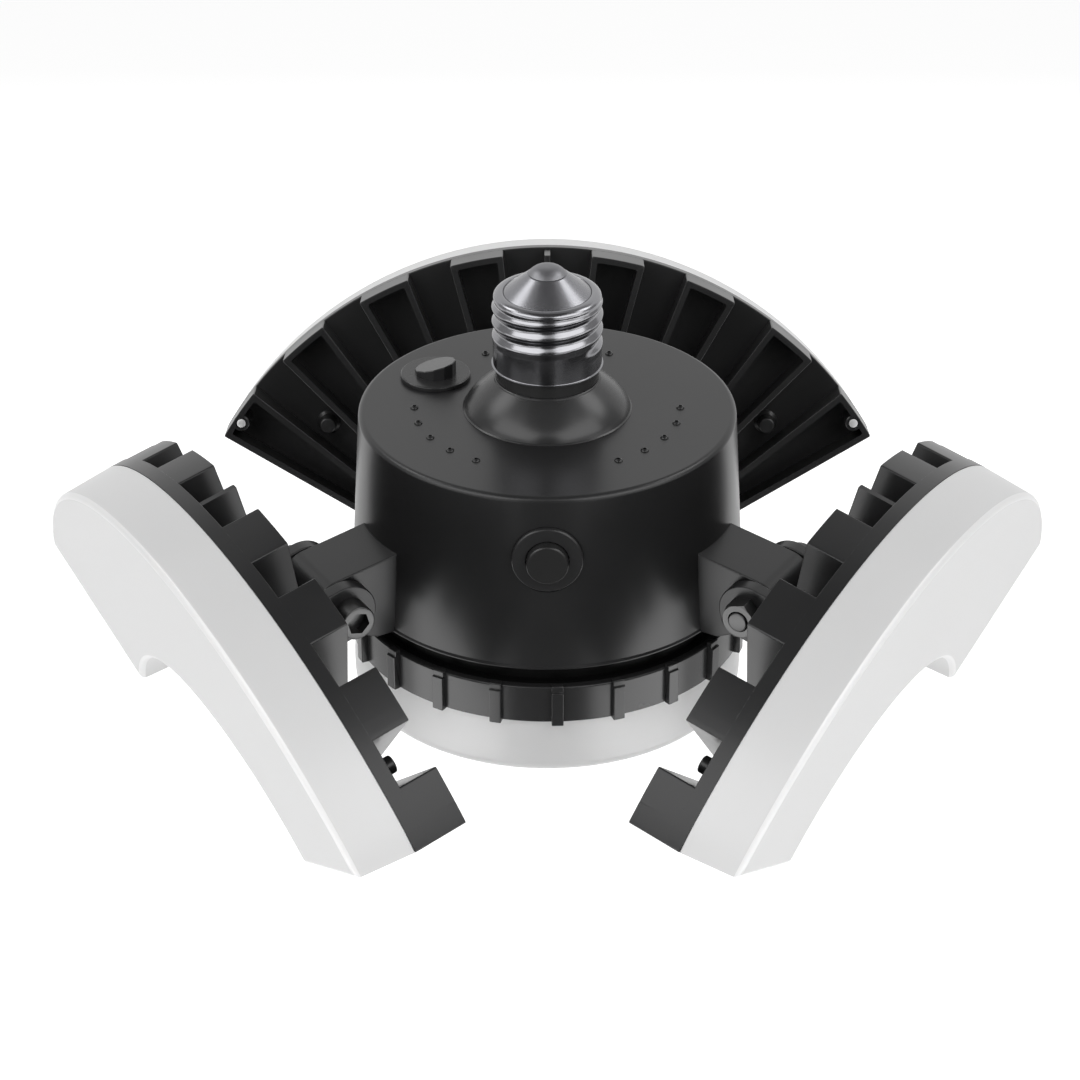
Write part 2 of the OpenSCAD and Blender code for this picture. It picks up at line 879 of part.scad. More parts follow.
// The raised walls: closed cells on both halves and a thin fin in the middle
module cell_walls() {
    for (side = [-1, 1], k = [0:cell_count - 1]) {
        near = first_cell + k * cell_pitch;
        far = near + cell_span;
        low = side > 0 ? near : -far;
        high = side > 0 ? far : -near;
        difference() {
            sector(panel_in_r, panel_r, low, high, 0);
            sector(panel_in_r + cell_wall, panel_r - cell_wall, low, high, cell_wall);
        }
    }
    translate([panel_in_r + cell_wall, -cell_wall / 2])
        square([panel_r - panel_in_r - 3 * cell_wall / 2, cell_wall]);
}

// Corner screws and board posts, by radius and angle
corner_post_r = 2.1;
corner_ring_r = panel_r - corner_post_r - seat_gap;
corner_angle = panel_half - 3.2;
panel_screw_r = 0.9;
panel_head_r = 1.3;
panel_head_h = 0.5;
board_post_ring_r = 78;
board_post_angle = first_cell + 2 * cell_pitch + cell_span
    + (cell_pitch - cell_span) / 2;
board_post_r = 2.2;
board_post_h = 6;
board_post_foot = 0.5;

module at_corners() {
    for (side = [-1, 1])
        rotate([0, 0, side * corner_angle])
            translate([corner_ring_r, 0, 0])
                children();
}

module flat_heat_sink() {
    difference() {
        union() {
            linear_extrude(sink_base)
                sector(panel_in_r, panel_r, -panel_half, panel_half, 0);
            linear_extrude(sink_h)
                cell_walls();
            for (side = [-1, 1]) {
                translate([hinge_reach, side * (lug_in + lug_t / 2), 0])
                    rotate([90, 0, 0])
                        linear_extrude(lug_t, center = true) {
                            translate([0, hinge_back])
                                circle(lug_r);
                            translate([-lug_r, sink_base / 2])
                                square([2 * lug_r, hinge_back - sink_base / 2]);
                        }
                rotate([0, 0, side * board_post_angle])
                    translate([board_post_ring_r, 0, sink_base / 2]) {
                        cylinder(r = board_post_r, h = board_post_h + sink_base / 2, $fn = 48);
                        cylinder(r = board_post_r + board_post_foot,
                            h = sink_base / 2 + board_post_foot, $fn = 48);
                    }
            }
            at_corners()
                cylinder(r = corner_post_r, h = sink_h, $fn = 48);
        }
        translate([hinge_reach, 0, hinge_back])
            rotate([90, 0, 0])
                cylinder(r = bolt_r + bolt_play, h = 2 * (lug_out + over), center = true);
        at_corners() {
            translate([0, 0, -over])
                cylinder(r = panel_screw_r + bolt_play, h = sink_h + 2 * over, $fn = 32);
            translate([0, 0, sink_h - panel_head_h / 2])
                cylinder(r = panel_head_r + bolt_play, h = panel_head_h + over, $fn = 32);
        }
    }
}

// Section of the diffuser: across is the radius, up is height, w is how far it is drawn in
module diffuser_section(w) {
    edge = max(diffuser_edge_r - w, diffuser_edge_r / 4);
    front = -diffuser_h + w;
    out = panel_r - w;
    in = panel_in_r + w;
    polygon(concat(
        [[in, w > 0 ? over : 0], [out, w > 0 ? over : 0], [out, 0]],
        arc([out - diffuser_draft - edge, front + edge], edge, 0, -90, 6),
        arc([in + diffuser_draft + edge, front + edge], edge, -90, -180, 6),
        [[in, 0]]
    ));
}

// Everything on the inner side of one end face, and of both
module inside_end(inset) {
    rotate([0, 0, panel_half])
        rotate([-atan(end_draft / diffuser_h), 0, 0])
            translate([-wedge_reach, -wedge_reach - inset, -2 * diffuser_h])
                cube([2 * wedge_reach, wedge_reach, 4 * diffuser_h]);
}

module between_ends(inset) {
    intersection() {
        inside_end(inset);
        mirror([0, 1, 0])
            inside_end(inset);
    }
}

diffuser_post_r = 1.7;
diffuser_post_l = 7.5;
panel_screw_l = 6;

module flat_diffuser() {
    difference() {
        union() {
            difference() {
                intersection() {
                    rotate_extrude($fn = 180)
                        diffuser_section(0);
                    between_ends(0);
                }
                intersection() {
                    rotate_extrude($fn = 180)
                        diffuser_section(diffuser_wall);
                    between_ends(diffuser_wall);
                }
            }
            at_corners()
                translate([0, 0, -diffuser_post_l])
                    cylinder(r = diffuser_post_r, h = diffuser_post_l, $fn = 48);
        }
        at_corners()
            translate([0, 0, -panel_screw_l - seat_gap])
                cylinder(r = panel_screw_r, h = panel_screw_l + over, $fn = 32);
    }
}

panel_board_t = 1.2;
panel_board_edge = 5;

module flat_led_board() {
    translate([0, 0, -panel_board_t])
        linear_extrude(panel_board_t)
            sector(panel_in_r + panel_board_edge, panel_r - panel_board_edge,
                -panel_half, panel_half, panel_board_edge);
}

led_rows = 3;
led_margin = 11;
led_row_step = (panel_r - panel_in_r - 2 * led_margin) / (led_rows - 1);

module flat_leds() {
    for (row = [0:led_rows - 1]) {
        r = panel_in_r + led_margin + row * led_row_step;
        half = panel_half - asin(led_margin / r);
        count = 8 + 2 * row;
        for (i = [0:count - 1])
            rotate([0, 0, -half + 2 * half * i / (count - 1)])
                translate([r, 0, -panel_board_t])
                    led();
    }
}

module flat_screws() {
    at_corners() {
        translate([0, 0, sink_h - panel_head_h / 2])
            cylinder(r = panel_head_r, h = panel_head_h, $fn = 32);
        translate([0, 0, -panel_screw_l])
            cylinder(r = panel_screw_r - seat_gap, h = sink_h + panel_screw_l, $fn = 32);
    }
}

// Hinge hardware: the bolt's head is on the +Y side of its panel, the nut on the -Y side
bolt_over = 0.9;
bolt_tip = lug_out + nut_h + bolt_over;
socket_flats = 4;
socket_h = 2.6;
edge_break = 0.4;

module at_hinge_bolt() {
    translate([hinge_reach, 0, hinge_back])
        rotate([-90, 0, 0])
            children();
}

module flat_hinge_bolt() {
    head_z = lug_out;
    difference() {
        at_hinge_bolt()
            rotate_extrude($fn = 64)
                polygon([
                    [0, -bolt_tip],
                    [bolt_r - edge_break, -bolt_tip],
                    [bolt_r, -bolt_tip + edge_break],
                    [bolt_r, head_z],
                    [bolt_head_r, head_z],
                    [bolt_head_r, head_z + bolt_head_h - edge_break],
                    [bolt_head_r - edge_break, head_z + bolt_head_h],
                    [0, head_z + bolt_head_h]
                ]);
        at_hinge_bolt()
            translate([0, 0, head_z + bolt_head_h - socket_h])
                cylinder(r = socket_flats / sqrt(3), h = socket_h + over, $fn = 6);
    }
}

module flat_hinge_nut() {
    at_hinge_bolt()
        translate([0, 0, -lug_out - nut_h])
            difference() {
                intersection() {
                    cylinder(r = nut_flats / sqrt(3), h = nut_h, $fn = 6);
                    rotate_extrude($fn = 64)
                        polygon([
                            [0, 0],
                            [nut_flats / 2, 0],
                            [nut_flats / sqrt(3) + edge_break, edge_break * 2],
                            [nut_flats / sqrt(3) + edge_break, nut_h],
                            [0, nut_h]
                        ]);
                }
                translate([0, 0, -over])
                    cylinder(r = bolt_r + bolt_play, h = nut_h + 2 * over, $fn = 64);
            }
}

module flat_hinge_washers() {
    at_hinge_bolt()
        for (side = [-1, 1])
            translate([0, 0, side * (lug_in - washer_t / 2 + seat_gap / 2)])
                difference() {
                    cylinder(r = nose_r - edge_break, h = washer_t - seat_gap, center = true);
                    cylinder(r = bolt_r + bolt_play, h = washer_t + 2 * over, center = true);
                }
}

// Put a flat piece of a panel in its place, folded up about its bolt
module on_panel(i) {
    rotate([0, 0, PANEL_AZIMUTHS[i]])
        translate([hinge_r, 0, pivot_z])
            rotate([0, -fold_up, 0])
                translate([-hinge_reach, 0, -hinge_back])
                    children();
}

module panel_heat_sink(i) {
    color(dark)
        on_panel(i)
            flat_heat_sink();
}

module panel_diffuser(i) {
    color(milk)
        on_panel(i)
            flat_diffuser();
}

module panel_led_board(i) {
    color(board_white)
        on_panel(i)
            flat_led_board();
}

module panel_leds(i) {
    color(led_yellow)
        on_panel(i)
            flat_leds();
}

module panel_screws(i) {
    color(steel)
        on_panel(i)
            flat_screws();
}

module panel_hinge_bolt(i) {
    color(black)
        on_panel(i)
            flat_hinge_bolt();
}

module panel_hinge_nut(i) {
    color(black)
        on_panel(i)
            flat_hinge_nut();
}

module panel_hinge_washers(i) {
    color(milk)
        on_panel(i)
            flat_hinge_washers();
}

screw_shell();
cap_insulator();
centre_contact();
neck_collar();
neck_cone();
driver_housing();
light_sensor_base();
light_sensor_cap();
button_bezel();
push_button();
tact_switch();
driver_board();
driver_transformer();
driver_capacitors();
driver_inductor();
driver_terminal();
driver_screws();
core_plate();
lock_ring();
core_board();
core_leds();
core_diffuser();
core_screws();
for (i = [0:2]) {
    name = PANEL_NAMES[i];
    panel_heat_sink(i);
    panel_diffuser(i);
    panel_led_board(i);
    panel_leds(i);
    panel_screws(i);
    panel_hinge_bolt(i);
    panel_hinge_nut(i);
    panel_hinge_washers(i);
}
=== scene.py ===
"""Looks of the folding garage light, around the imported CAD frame.

Sizes are in millimetres, as in the part's source, until a mesh is made; Blender works in metres.
Height 0 is the foot of the cap's skirt. Azimuths are in degrees, and the camera looks along +Y.
A panel's pieces are made lying flat: X runs out along its middle, Z is up and the seam between
the heat sink and the diffuser is z = 0. They are then folded up to their place.
"""

import json
import math

import bmesh
import bpy
from mathutils import Matrix, Vector

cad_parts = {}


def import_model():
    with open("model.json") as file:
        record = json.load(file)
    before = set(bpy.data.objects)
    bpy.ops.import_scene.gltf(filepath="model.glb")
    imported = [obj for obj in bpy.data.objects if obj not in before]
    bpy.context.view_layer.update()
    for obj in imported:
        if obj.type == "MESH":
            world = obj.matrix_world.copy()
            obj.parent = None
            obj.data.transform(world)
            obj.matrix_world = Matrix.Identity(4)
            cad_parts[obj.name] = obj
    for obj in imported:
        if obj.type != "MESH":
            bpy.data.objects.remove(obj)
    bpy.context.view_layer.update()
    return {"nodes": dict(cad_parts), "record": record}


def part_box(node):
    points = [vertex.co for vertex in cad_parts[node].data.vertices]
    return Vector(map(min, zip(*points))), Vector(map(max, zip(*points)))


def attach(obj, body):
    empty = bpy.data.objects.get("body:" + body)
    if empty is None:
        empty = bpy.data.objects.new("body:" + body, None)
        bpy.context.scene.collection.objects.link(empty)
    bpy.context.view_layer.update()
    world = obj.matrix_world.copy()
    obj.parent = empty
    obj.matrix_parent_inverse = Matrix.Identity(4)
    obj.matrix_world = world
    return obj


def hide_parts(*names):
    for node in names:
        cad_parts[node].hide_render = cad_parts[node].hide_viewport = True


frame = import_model()
NODES = frame["nodes"]
MM = 0.001

# Screw cap
SKIRT_R, SKIRT_H, RIM_H, RIM_FLARE = 12.95, 3.9, 0.5, 0.3
SHELL_WALL, PITCH, CREST_Z = 0.5, 3.629, 5.2
CREST_RISE, GROOVE, THREAD_FOOT, THREAD_TOP = 0.2, 0.65, 2.6, 16.85
THREAD_START, THREAD_RISE, THREAD_FADE = -55, 40, 1.6
SHOULDER_R, SHOULDER_SHARE, SHOULDER_EDGE, SHOULDER_STEPS = 10.4, 0.3, 0.3, 8
CROWN_Z, CROWN_LIP, INSULATOR_TOP, INSULATOR_PLAY = 18.2, 1, 22.8, 0.06
SHELL_BORE = SKIRT_R - GROOVE - SHELL_WALL
CONTACT_R, CONTACT_H, CONTACT_SINK, DOME_STEPS, DOME_POWER = 4.5, 1.9, 0.05, 12, 3
STEM_R, STEM_DEPTH = 1.5, 6.5
# The rolled rim under the skirt: how far out from the skirt, and how high.
RIM_PROFILE = [(-0.1, -RIM_H), (0.12, -RIM_H + 0.03), (RIM_FLARE, -0.4), (RIM_FLARE, -0.32),
               (0.1, -0.22), (0.01, -0.17), (0, 0), (0, SKIRT_H / 2)]
# Neck and drum
COLLAR_R, COLLAR_H, NECK_R, NECK_H, CABLE_R = 12.2, 3.4, 20.2, 8.4, 9.2
SPIGOT_H, SPIGOT_PLAY, CONE_STEPS = 3.9, 0.1, 12
COLLAR_Z = -RIM_H - COLLAR_H
DECK_Z = COLLAR_Z - NECK_H
DRUM_TOP_R, DRUM_LOW_R, DRUM_H, WALL, DRUM_EDGE = 45.1, 47.6, 44.2, 2.0, 1.4
FOOT_LIP = 0.18
DRUM_FOOT = DECK_Z - DRUM_H
DRUM_SLOPE = (DRUM_LOW_R - DRUM_TOP_R) / DRUM_H
VENT_RING, VENT_R, VENT_COUNT, VENT_STEP = 31.7, 0.42, 5, 14.3
VENT_LIP_R, VENT_LIP_H = 1.0, 0.6
POST_RING, POST_R, STUD_RING, STUD_R, STUD_DROP = 38, 3.4, 27, 3, 24
POST_AZIMUTHS = (60, 180, 300)
# Hinge
HINGE_R, HINGE_DROP, FOLD = 60.6, 33, 74.7
HINGE_REACH, HINGE_BACK = 59.7, 24.7
PIVOT_Z = DECK_Z - HINGE_DROP
BRACKET_HALF, NOSE_R, BRACKET_DROP, FOOT = 8.65, 7.0, 23.2, 3.7
BRACKET_LEAN, BRACKET_EDGE = 14, 0.35
WASHER_T, WASHER_MARGIN, LUG_T, LUG_R, LUG_ROOT = 0.35, 0.4, 3.6, 7.1, 1.5
LUG_IN = BRACKET_HALF + WASHER_T
LUG_OUT = LUG_IN + LUG_T
BOLT_R, HEAD_R, HEAD_H, NUT_FLATS, NUT_H, BOLT_OVER = 2.5, 4.25, 5.0, 8.0, 4.0, 0.5
BOLT_HOLE_R = BOLT_R + 0.06
SOCKET_FLATS, SOCKET_H = 5.0, 2.6
# Panel
PANEL_R, PANEL_IN, PANEL_HALF, PANEL_STEPS = 98.9, 53.0, 59.5, 96
SINK_H, SINK_BASE, SINK_EDGE, SINK_CORNER = 13.0, 3.7, 0.3, 0.4
CELL_WALL, CELL_SPAN, FIRST_CELL, CELLS = 1.4, 8.2, 6.7, 4
CELL_EDGE, CELL_TAPER, CELL_HOLE_CORNER, CELL_STEPS = 0.2, 0.15, 0.5, 10
CELL_PITCH = (PANEL_HALF - CELL_SPAN - FIRST_CELL) / (CELLS - 1)
SPINE_IN, SPINE_OUT, SPINE_HALF, SPINE_DROP = 1.2, 0.6, 0.75, 0.05
DIFFUSER_H, DIFFUSER_WALL, DIFFUSER_DRAFT, DIFFUSER_EDGE = 14.3, 1.8, 0.55, 1.6
END_DRAFT, EDGE_STEPS = 1.4, 7
FACET_ANGLE, FACET_DROP, FACET_BAND = 3.4, 0.35, 12
PEG_RING, PEG_R, PEG_H, PEG_ROOT = 78, 2.2, 6.0, 1
PEG_ANGLE = FIRST_CELL + 2 * CELL_PITCH + CELL_SPAN + (CELL_PITCH - CELL_SPAN) / 2
CORNER_R, CORNER_RING, CORNER_ANGLE = 2.1, 96.7, 56.3
SCREW_R, SCREW_HEAD_R, SCREW_HOLE_R, SCREW_TIP = 0.8, 1.15, 0.95, -6
# Central lamp
GROOVE_H, RING_R, RING_H, RIBS, RIB_W, RIB_RISE, RIB_AZIMUTH = 4.6, 48.2, 9.6, 21, 2.8, 1.5, 2.8
RING_TOP = DRUM_FOOT - GROOVE_H
RING_FOOT = RING_TOP - RING_H
PLATE_FLANGE, PLATE_T, RING_LIP = 46.3, 2.5, 1.5
RIB_ROOT, RIB_EDGE, RIB_TIP = 0.5, 0.2, 0.75
CORE_R, CORE_H, CORE_EDGE, CORE_INSET, CORE_LIP_H = 47.7, 14.8, 3.0, 0.05, 5.5
# Sensor and button
SENSOR_RING, SENSOR_AZIMUTH, SENSOR_LEAN = 31.3, 150, 147
SENSOR_STEM_R, SENSOR_STEM_H, SENSOR_HOLE_R = 3, 6, 3.1
FLANGE_R, FLANGE_T, CAP_R, CAP_H, CAP_SLOPE, CAP_FACETS, CAP_EDGE = 8.5, 1.2, 5.0, 0.6, 17, 12, 0.3
BEZEL_R, BEZEL_T, BEZEL_SEAT, BUTTON_R, BUTTON_DROP = 8.3, 1.5, 0.9, 4.9, 15.6
BUTTON_GAP, BUTTON_STEM_R, BUTTON_STEM_H = 0.15, 2, 6
BUTTON_COLLAR_W, BUTTON_COLLAR_T = 1.3, 1.5

PANELS = {"rear": 90, "left": 210, "right": 330}

# Sides of turned pieces, from the drum's size down to the vents'.
ROUND_STEPS, CAP_STEPS, KNOB_STEPS, BOLT_STEPS, PIN_STEPS, SCREW_STEPS, VENT_STEPS = (
    192, 128, 96, 64, 48, 32, 24)
ON_AXIS = 1e-6
# Keeps the straight sides of two pieces from lying in exactly the same plane.
HAIR = 1e-4

# Faces of a cover that lean this much towards its front belong to its rounded edge, which gets a
# paler material as a painted highlight.
HIGHLIGHT_LEAN_FROM, HIGHLIGHT_LEAN_TO = 0.2, 0.95

# Studio, in metres
WORLD_LIGHT = 0.36
FLOOR_Z, FLOOR_GLOW, FLOOR_REACH = -0.5, 0.6, 12
MIDDLE = (0, 0, -0.03)
# Cards: name, place, target, size and brightness, where 1 is white.
CARDS = [
    ("flag_low", (0, -0.9, -0.45), (0, -0.9, 1), (0.65, 1.5), 0.09),
    ("flag_front", (0, -1.3, 0.3), (0, 0, 0.3), (0.7, 1.5), 0.05),
    ("flag_high", (0, -0.25, 1.15), MIDDLE, (1.0, 1.3), 0.12),
    ("flag_top", (0, 0.45, 1.3), (0, 0.45, 0), (2.4, 1.5), 0.45),
]
# The same for those that stand on both sides, as they are on the right.
SIDE_CARDS = [
    ("flag_low", (0.7, -0.7, -0.48), (0.7, -0.7, 1), (0.8, 1.4), 0.8),
    ("flag_side", (1.5, 0.2, 0.35), MIDDLE, (1.3, 1.0), 0.5),
    ("card", (0.72, -0.6, 0.7), MIDDLE, (1.25, 0.65), 3.0),
    ("card_high", (0.77, 0.25, 0.8), MIDDLE, (0.36, 0.45), 4.2),
    ("card_low", (0.44, -0.33, -0.33), MIDDLE, (0.55, 0.36), 4.0),
]
# Lamps: name, place, size, brightness and whether gloss mirrors them. All aim at the middle.
SIDE_LAMPS = [
    ("soft", (0.68, -0.68, 0.75), (0.5, 0.8), 2.6, False),
    ("side", (1.15, -0.35, 0.0), (0.8, 0.5), 1.1, True),
]
LAMPS = [
    ("rear", (0, 1.2, 0.3), (1.4, 0.8), 1.4, False),
    ("top", (0, 0.5, 1.1), (1.0, 1.0), 0.6, False),
    ("fill", (0, -1.2, -0.2), (0.9, 0.3), 3.5, False),
]
# Camera, solved from the photograph's concentric circles. The tilt is up from straight down.
LENS, SENSOR_WIDTH, SHIFT = 112.35, 36, (-0.0068, -0.0199)
CAMERA_PLACE, CAMERA_TILT = (0, -0.7127, 0.3611), 60.442


# Materials

NOISE_FROM, NOISE_TO = 0.15, 0.85
COAT_ROUGHNESS = 0.15
SCATTER_RADIUS, SCATTER_SCALE = (1.0, 0.95, 0.9), 0.002


def empty_tree(owner):
    owner.use_nodes = True
    owner.node_tree.nodes.clear()
    return owner.node_tree


def noise(tree, scale, detail, rough=0.5):
    coords = tree.nodes.new("ShaderNodeTexCoord")
    tex = tree.nodes.new("ShaderNodeTexNoise")
    tex.inputs["Scale"].default_value = scale
    tex.inputs["Detail"].default_value = detail
    tex.inputs["Roughness"].default_value = rough
    tree.links.new(coords.outputs["Object"], tex.inputs["Vector"])
    return tex.outputs["Fac"]


def spread(tree, value, low, high):
    """Spread a noise over a range, from low to high."""
    node = tree.nodes.new("ShaderNodeMapRange")
    node.interpolation_type = "SMOOTHSTEP"
    node.inputs["From Min"].default_value = NOISE_FROM
    node.inputs["From Max"].default_value = NOISE_TO
    node.inputs["To Min"].default_value = low
    node.inputs["To Max"].default_value = high
    tree.links.new(value, node.inputs["Value"])
    return node.outputs["Result"]


def surface(name, color, roughness, metallic=0.0, specular=0.5, grain=1600, bump=0.12,
            depth=0.02, tint=0.08, rough_spread=0.03, patch=40, coat=0.0, subsurface=0.0):
    """Moulded, cast or plated stuff: fine grain in its bump, faint patches in colour and gloss."""
    mat = bpy.data.materials.new(name)
    tree = empty_tree(mat)
    shader = tree.nodes.new("ShaderNodeBsdfPrincipled")
    out = tree.nodes.new("ShaderNodeOutputMaterial")
    tree.links.new(shader.outputs["BSDF"], out.inputs["Surface"])
    shader.inputs["Metallic"].default_value = metallic
    shader.inputs["Specular IOR Level"].default_value = specular
    if coat:
        shader.inputs["Coat Weight"].default_value = coat
        shader.inputs["Coat Roughness"].default_value = COAT_ROUGHNESS
    if subsurface:
        shader.inputs["Subsurface Weight"].default_value = subsurface
        shader.inputs["Subsurface Radius"].default_value = SCATTER_RADIUS
        shader.inputs["Subsurface Scale"].default_value = SCATTER_SCALE
    patches = noise(tree, patch, 4.0)
    ramp = tree.nodes.new("ShaderNodeMix")
    ramp.data_type = "RGBA"
    ramp.inputs["A"].default_value = [c * (1 - tint) for c in color] + [1]
    ramp.inputs["B"].default_value = [min(1.0, c * (1 + tint)) for c in color] + [1]
    tree.links.new(spread(tree, patches, 0.0, 1.0), ramp.inputs["Factor"])
    tree.links.new(ramp.outputs["Result"], shader.inputs["Base Color"])
    fine = noise(tree, grain, 3.0, 0.6)
    tree.links.new(spread(tree, patches, roughness - rough_spread, roughness + rough_spread),
                   shader.inputs["Roughness"])
    bumper = tree.nodes.new("ShaderNodeBump")
    bumper.inputs["Strength"].default_value = bump
    bumper.inputs["Distance"].default_value = depth * MM
    tree.links.new(fine, bumper.inputs["Height"])
    tree.links.new(bumper.outputs["Normal"], shader.inputs["Normal"])
    return mat


MILK = dict(roughness=0.32, specular=0.45, grain=900, bump=0.04, tint=0.01, patch=15,
            subsurface=0.25)
# By the record's slots. Solder, the paler cover edge (a painted highlight) and the near-black
# groove (painted shade) are set on meshes of other slots.
MAT = {
    "dark_metal": surface("satin_coat", (0.019, 0.019, 0.0195), 0.3, specular=0.36, bump=0.1),
    "dark_plastic": surface("satin_plastic", (0.026, 0.026, 0.0265), 0.26, specular=0.4,
                            bump=0.08),
    "black_plastic": surface("black_plastic", (0.024, 0.024, 0.024), 0.25, specular=0.38,
                             bump=0.06),
    "sensor_plastic": surface("grey_plastic", (0.022, 0.022, 0.023), 0.24, specular=0.42, bump=0.3,
                              grain=700),
    "milk_plastic": surface("milk_plastic", (0.75, 0.75, 0.75), **MILK),
    # Paler milk for the covers' rounded front edges: a painted highlight, not a paler plastic.
    "milk_painted_highlight": surface("milk_painted_highlight", (0.95, 0.95, 0.95), **MILK),
    "cap_metal": surface("polished_nickel", (0.25, 0.25, 0.262), 0.19, metallic=1.0, grain=500,
                         bump=0.03, tint=0.05, rough_spread=0.04, patch=120),
    "solder": surface("solder", (0.2, 0.2, 0.21), 0.42, metallic=0.9, grain=500, bump=0.05,
                      tint=0.06, patch=300),
    "cap_insulator": surface("glazed_insulator", (0.22, 0.22, 0.233), 0.26, metallic=0.85,
                             grain=500, bump=0.03, tint=0.05, patch=120),
    "black_steel": surface("black_oxide", (0.075, 0.075, 0.075), 0.34, metallic=0.85, bump=0.1,
                           grain=2400),
    # Near black for core_plate in the groove between drum and ring: painted shade.
    "groove": surface("groove_painted_shade", (0.006, 0.006, 0.006), 0.5, specular=0.12),
    "washer_plastic": surface("washer_plastic", (0.03, 0.03, 0.03), 0.5),
    "zinc_screw": surface("zinc_plate", (0.68, 0.68, 0.68), 0.4, metallic=0.4, grain=2000),
    "white_board": surface("white_mask", (0.8, 0.8, 0.78), 0.35, tint=0.02),
    "green_board": surface("green_mask", (0.02, 0.16, 0.06), 0.3, coat=0.3),
    "led_phosphor": surface("phosphor", (0.85, 0.65, 0.2), 0.4, grain=4000),
    "transformer_tape": surface("yellow_tape", (0.65, 0.5, 0.08), 0.35, coat=0.2),
    "capacitor_sleeve": surface("shrink_sleeve", (0.01, 0.015, 0.05), 0.25, coat=0.3),
    "copper_wire": surface("enamelled_wire", (0.5, 0.2, 0.06), 0.3, metallic=0.9, grain=3000,
                           bump=0.5),
}


# Outlines: lists of points in millimetres.

def arc(cx, cy, r, a0, a1, steps):
    out = []
    for i in range(steps + 1):
        a = math.radians(a0 + (a1 - a0) * i / steps)
        out.append((cx + r * math.cos(a), cy + r * math.sin(a)))
    return out


def circle(r, steps):
    return [(r * math.cos(2 * math.pi * i / steps), r * math.sin(2 * math.pi * i / steps))
            for i in range(steps)]


def hexagon(flats):
    corner = flats / math.sqrt(3)
    return [(corner * math.cos(math.radians(60 * i)), corner * math.sin(math.radians(60 * i)))
            for i in range(6)]


def quarter(steps=3):
    """Shares of an edge's radius: how far in, and how far short of the top."""
    return [(1 - math.cos(math.radians(90 * k / steps)), 1 - math.sin(math.radians(90 * k / steps)))
            for k in range(steps + 1)]


def sector(r_in, r_out, low, high, d, steps, corner=0.0):
    """A ring sector's outline, its straight sides drawn in by d. Both arcs have as many points."""
    def ends(r):
        off = math.degrees(math.asin(d / r))
        return low + off, high - off

    near, far = ends(r_in), ends(r_out)
    pts = arc(0, 0, r_in, near[0], near[1], steps) + arc(0, 0, r_out, far[1], far[0], steps)
    if corner:
        marks = {0, steps, steps + 1, 2 * steps + 1}
        pts = rounded([p + (corner,) if i in marks else p for i, p in enumerate(pts)], 3)
    return pts


def rounded(points, steps=4):
    """Round the corners of a closed outline. Each point is (x, y) or (x, y, radius)."""
    out = []
    n = len(points)
    for i, p in enumerate(points):
        if len(p) < 3:
            out.append(p)
            continue
        here = Vector(p[:2])
        back = Vector(points[i - 1][:2]) - here
        ahead = Vector(points[(i + 1) % n][:2]) - here
        half = back.angle(ahead) / 2
        # Neighbouring corners share a side, so neither takes half of it.
        reach = min(p[2] / math.tan(half), 0.49 * back.length, 0.49 * ahead.length)
        r = reach * math.tan(half)
        start, end = here + back.normalized() * reach, here + ahead.normalized() * reach
        centre = here + (back.normalized() + ahead.normalized()).normalized() * (r / math.sin(half))
        u, v = start - centre, end - centre
        sweep = u.angle_signed(v)
        for k in range(steps + 1):
            turn = -sweep * k / steps
            out.append(tuple(centre + Matrix.Rotation(turn, 2) @ u))
    return out


def inset(outline, d):
    """Move each side of a closed, counter-clockwise outline inwards by d."""
    out = []
    n = len(outline)
    for i in range(n):
        p, q, r = (Vector(outline[(i + k) % n]) for k in (-1, 0, 1))
        e, f = (q - p).normalized(), (r - q).normalized()
        ne, nf = Vector((-e.y, e.x)), Vector((-f.y, f.x))
        # The floor of 0.2 keeps a sharp corner from shooting inwards.
        out.append(tuple(q + (ne + nf) * (d / max(0.2, 1 + ne.dot(nf)))))
    return out


def lift(outline, z):
    return [(x, y, z) for x, y in outline]


# Places

def turned(azimuth, x=0.0, z=0.0):
    """Out along an azimuth by x, and up by z."""
    return Matrix.Rotation(math.radians(azimuth), 4, "Z") @ Matrix.Translation((x, 0, z))


SIDEWAYS = Matrix.Rotation(math.radians(90), 4, "X")
BUTTON_PLACE = Matrix.Translation((0, 0, DECK_Z - BUTTON_DROP)) @ SIDEWAYS
SENSOR_TURN = Matrix.Rotation(math.radians(SENSOR_LEAN - SENSOR_AZIMUTH), 4, "Z")


# Solids

def stack(bm, loops, caps="ngon", closed=False):
    """Skin loops of as many points each. Both caps are one ngon, or strips across a sector."""
    rows = [[bm.verts.new(Vector(p) * MM) for p in loop] for loop in loops]
    n = len(rows[0])
    for a, b in zip(rows, rows[1:] + (rows[:1] if closed else [])):
        for i in range(n):
            j = (i + 1) % n
            bm.faces.new((a[i], a[j], b[j], b[i]))
    if closed:
        return
    for row in (rows[0], rows[-1]):
        if caps == "ngon":
            bm.faces.new(row)
        else:
            for i in range(n // 2 - 1):
                bm.faces.new((row[i], row[i + 1], row[n - 2 - i], row[n - 1 - i]))


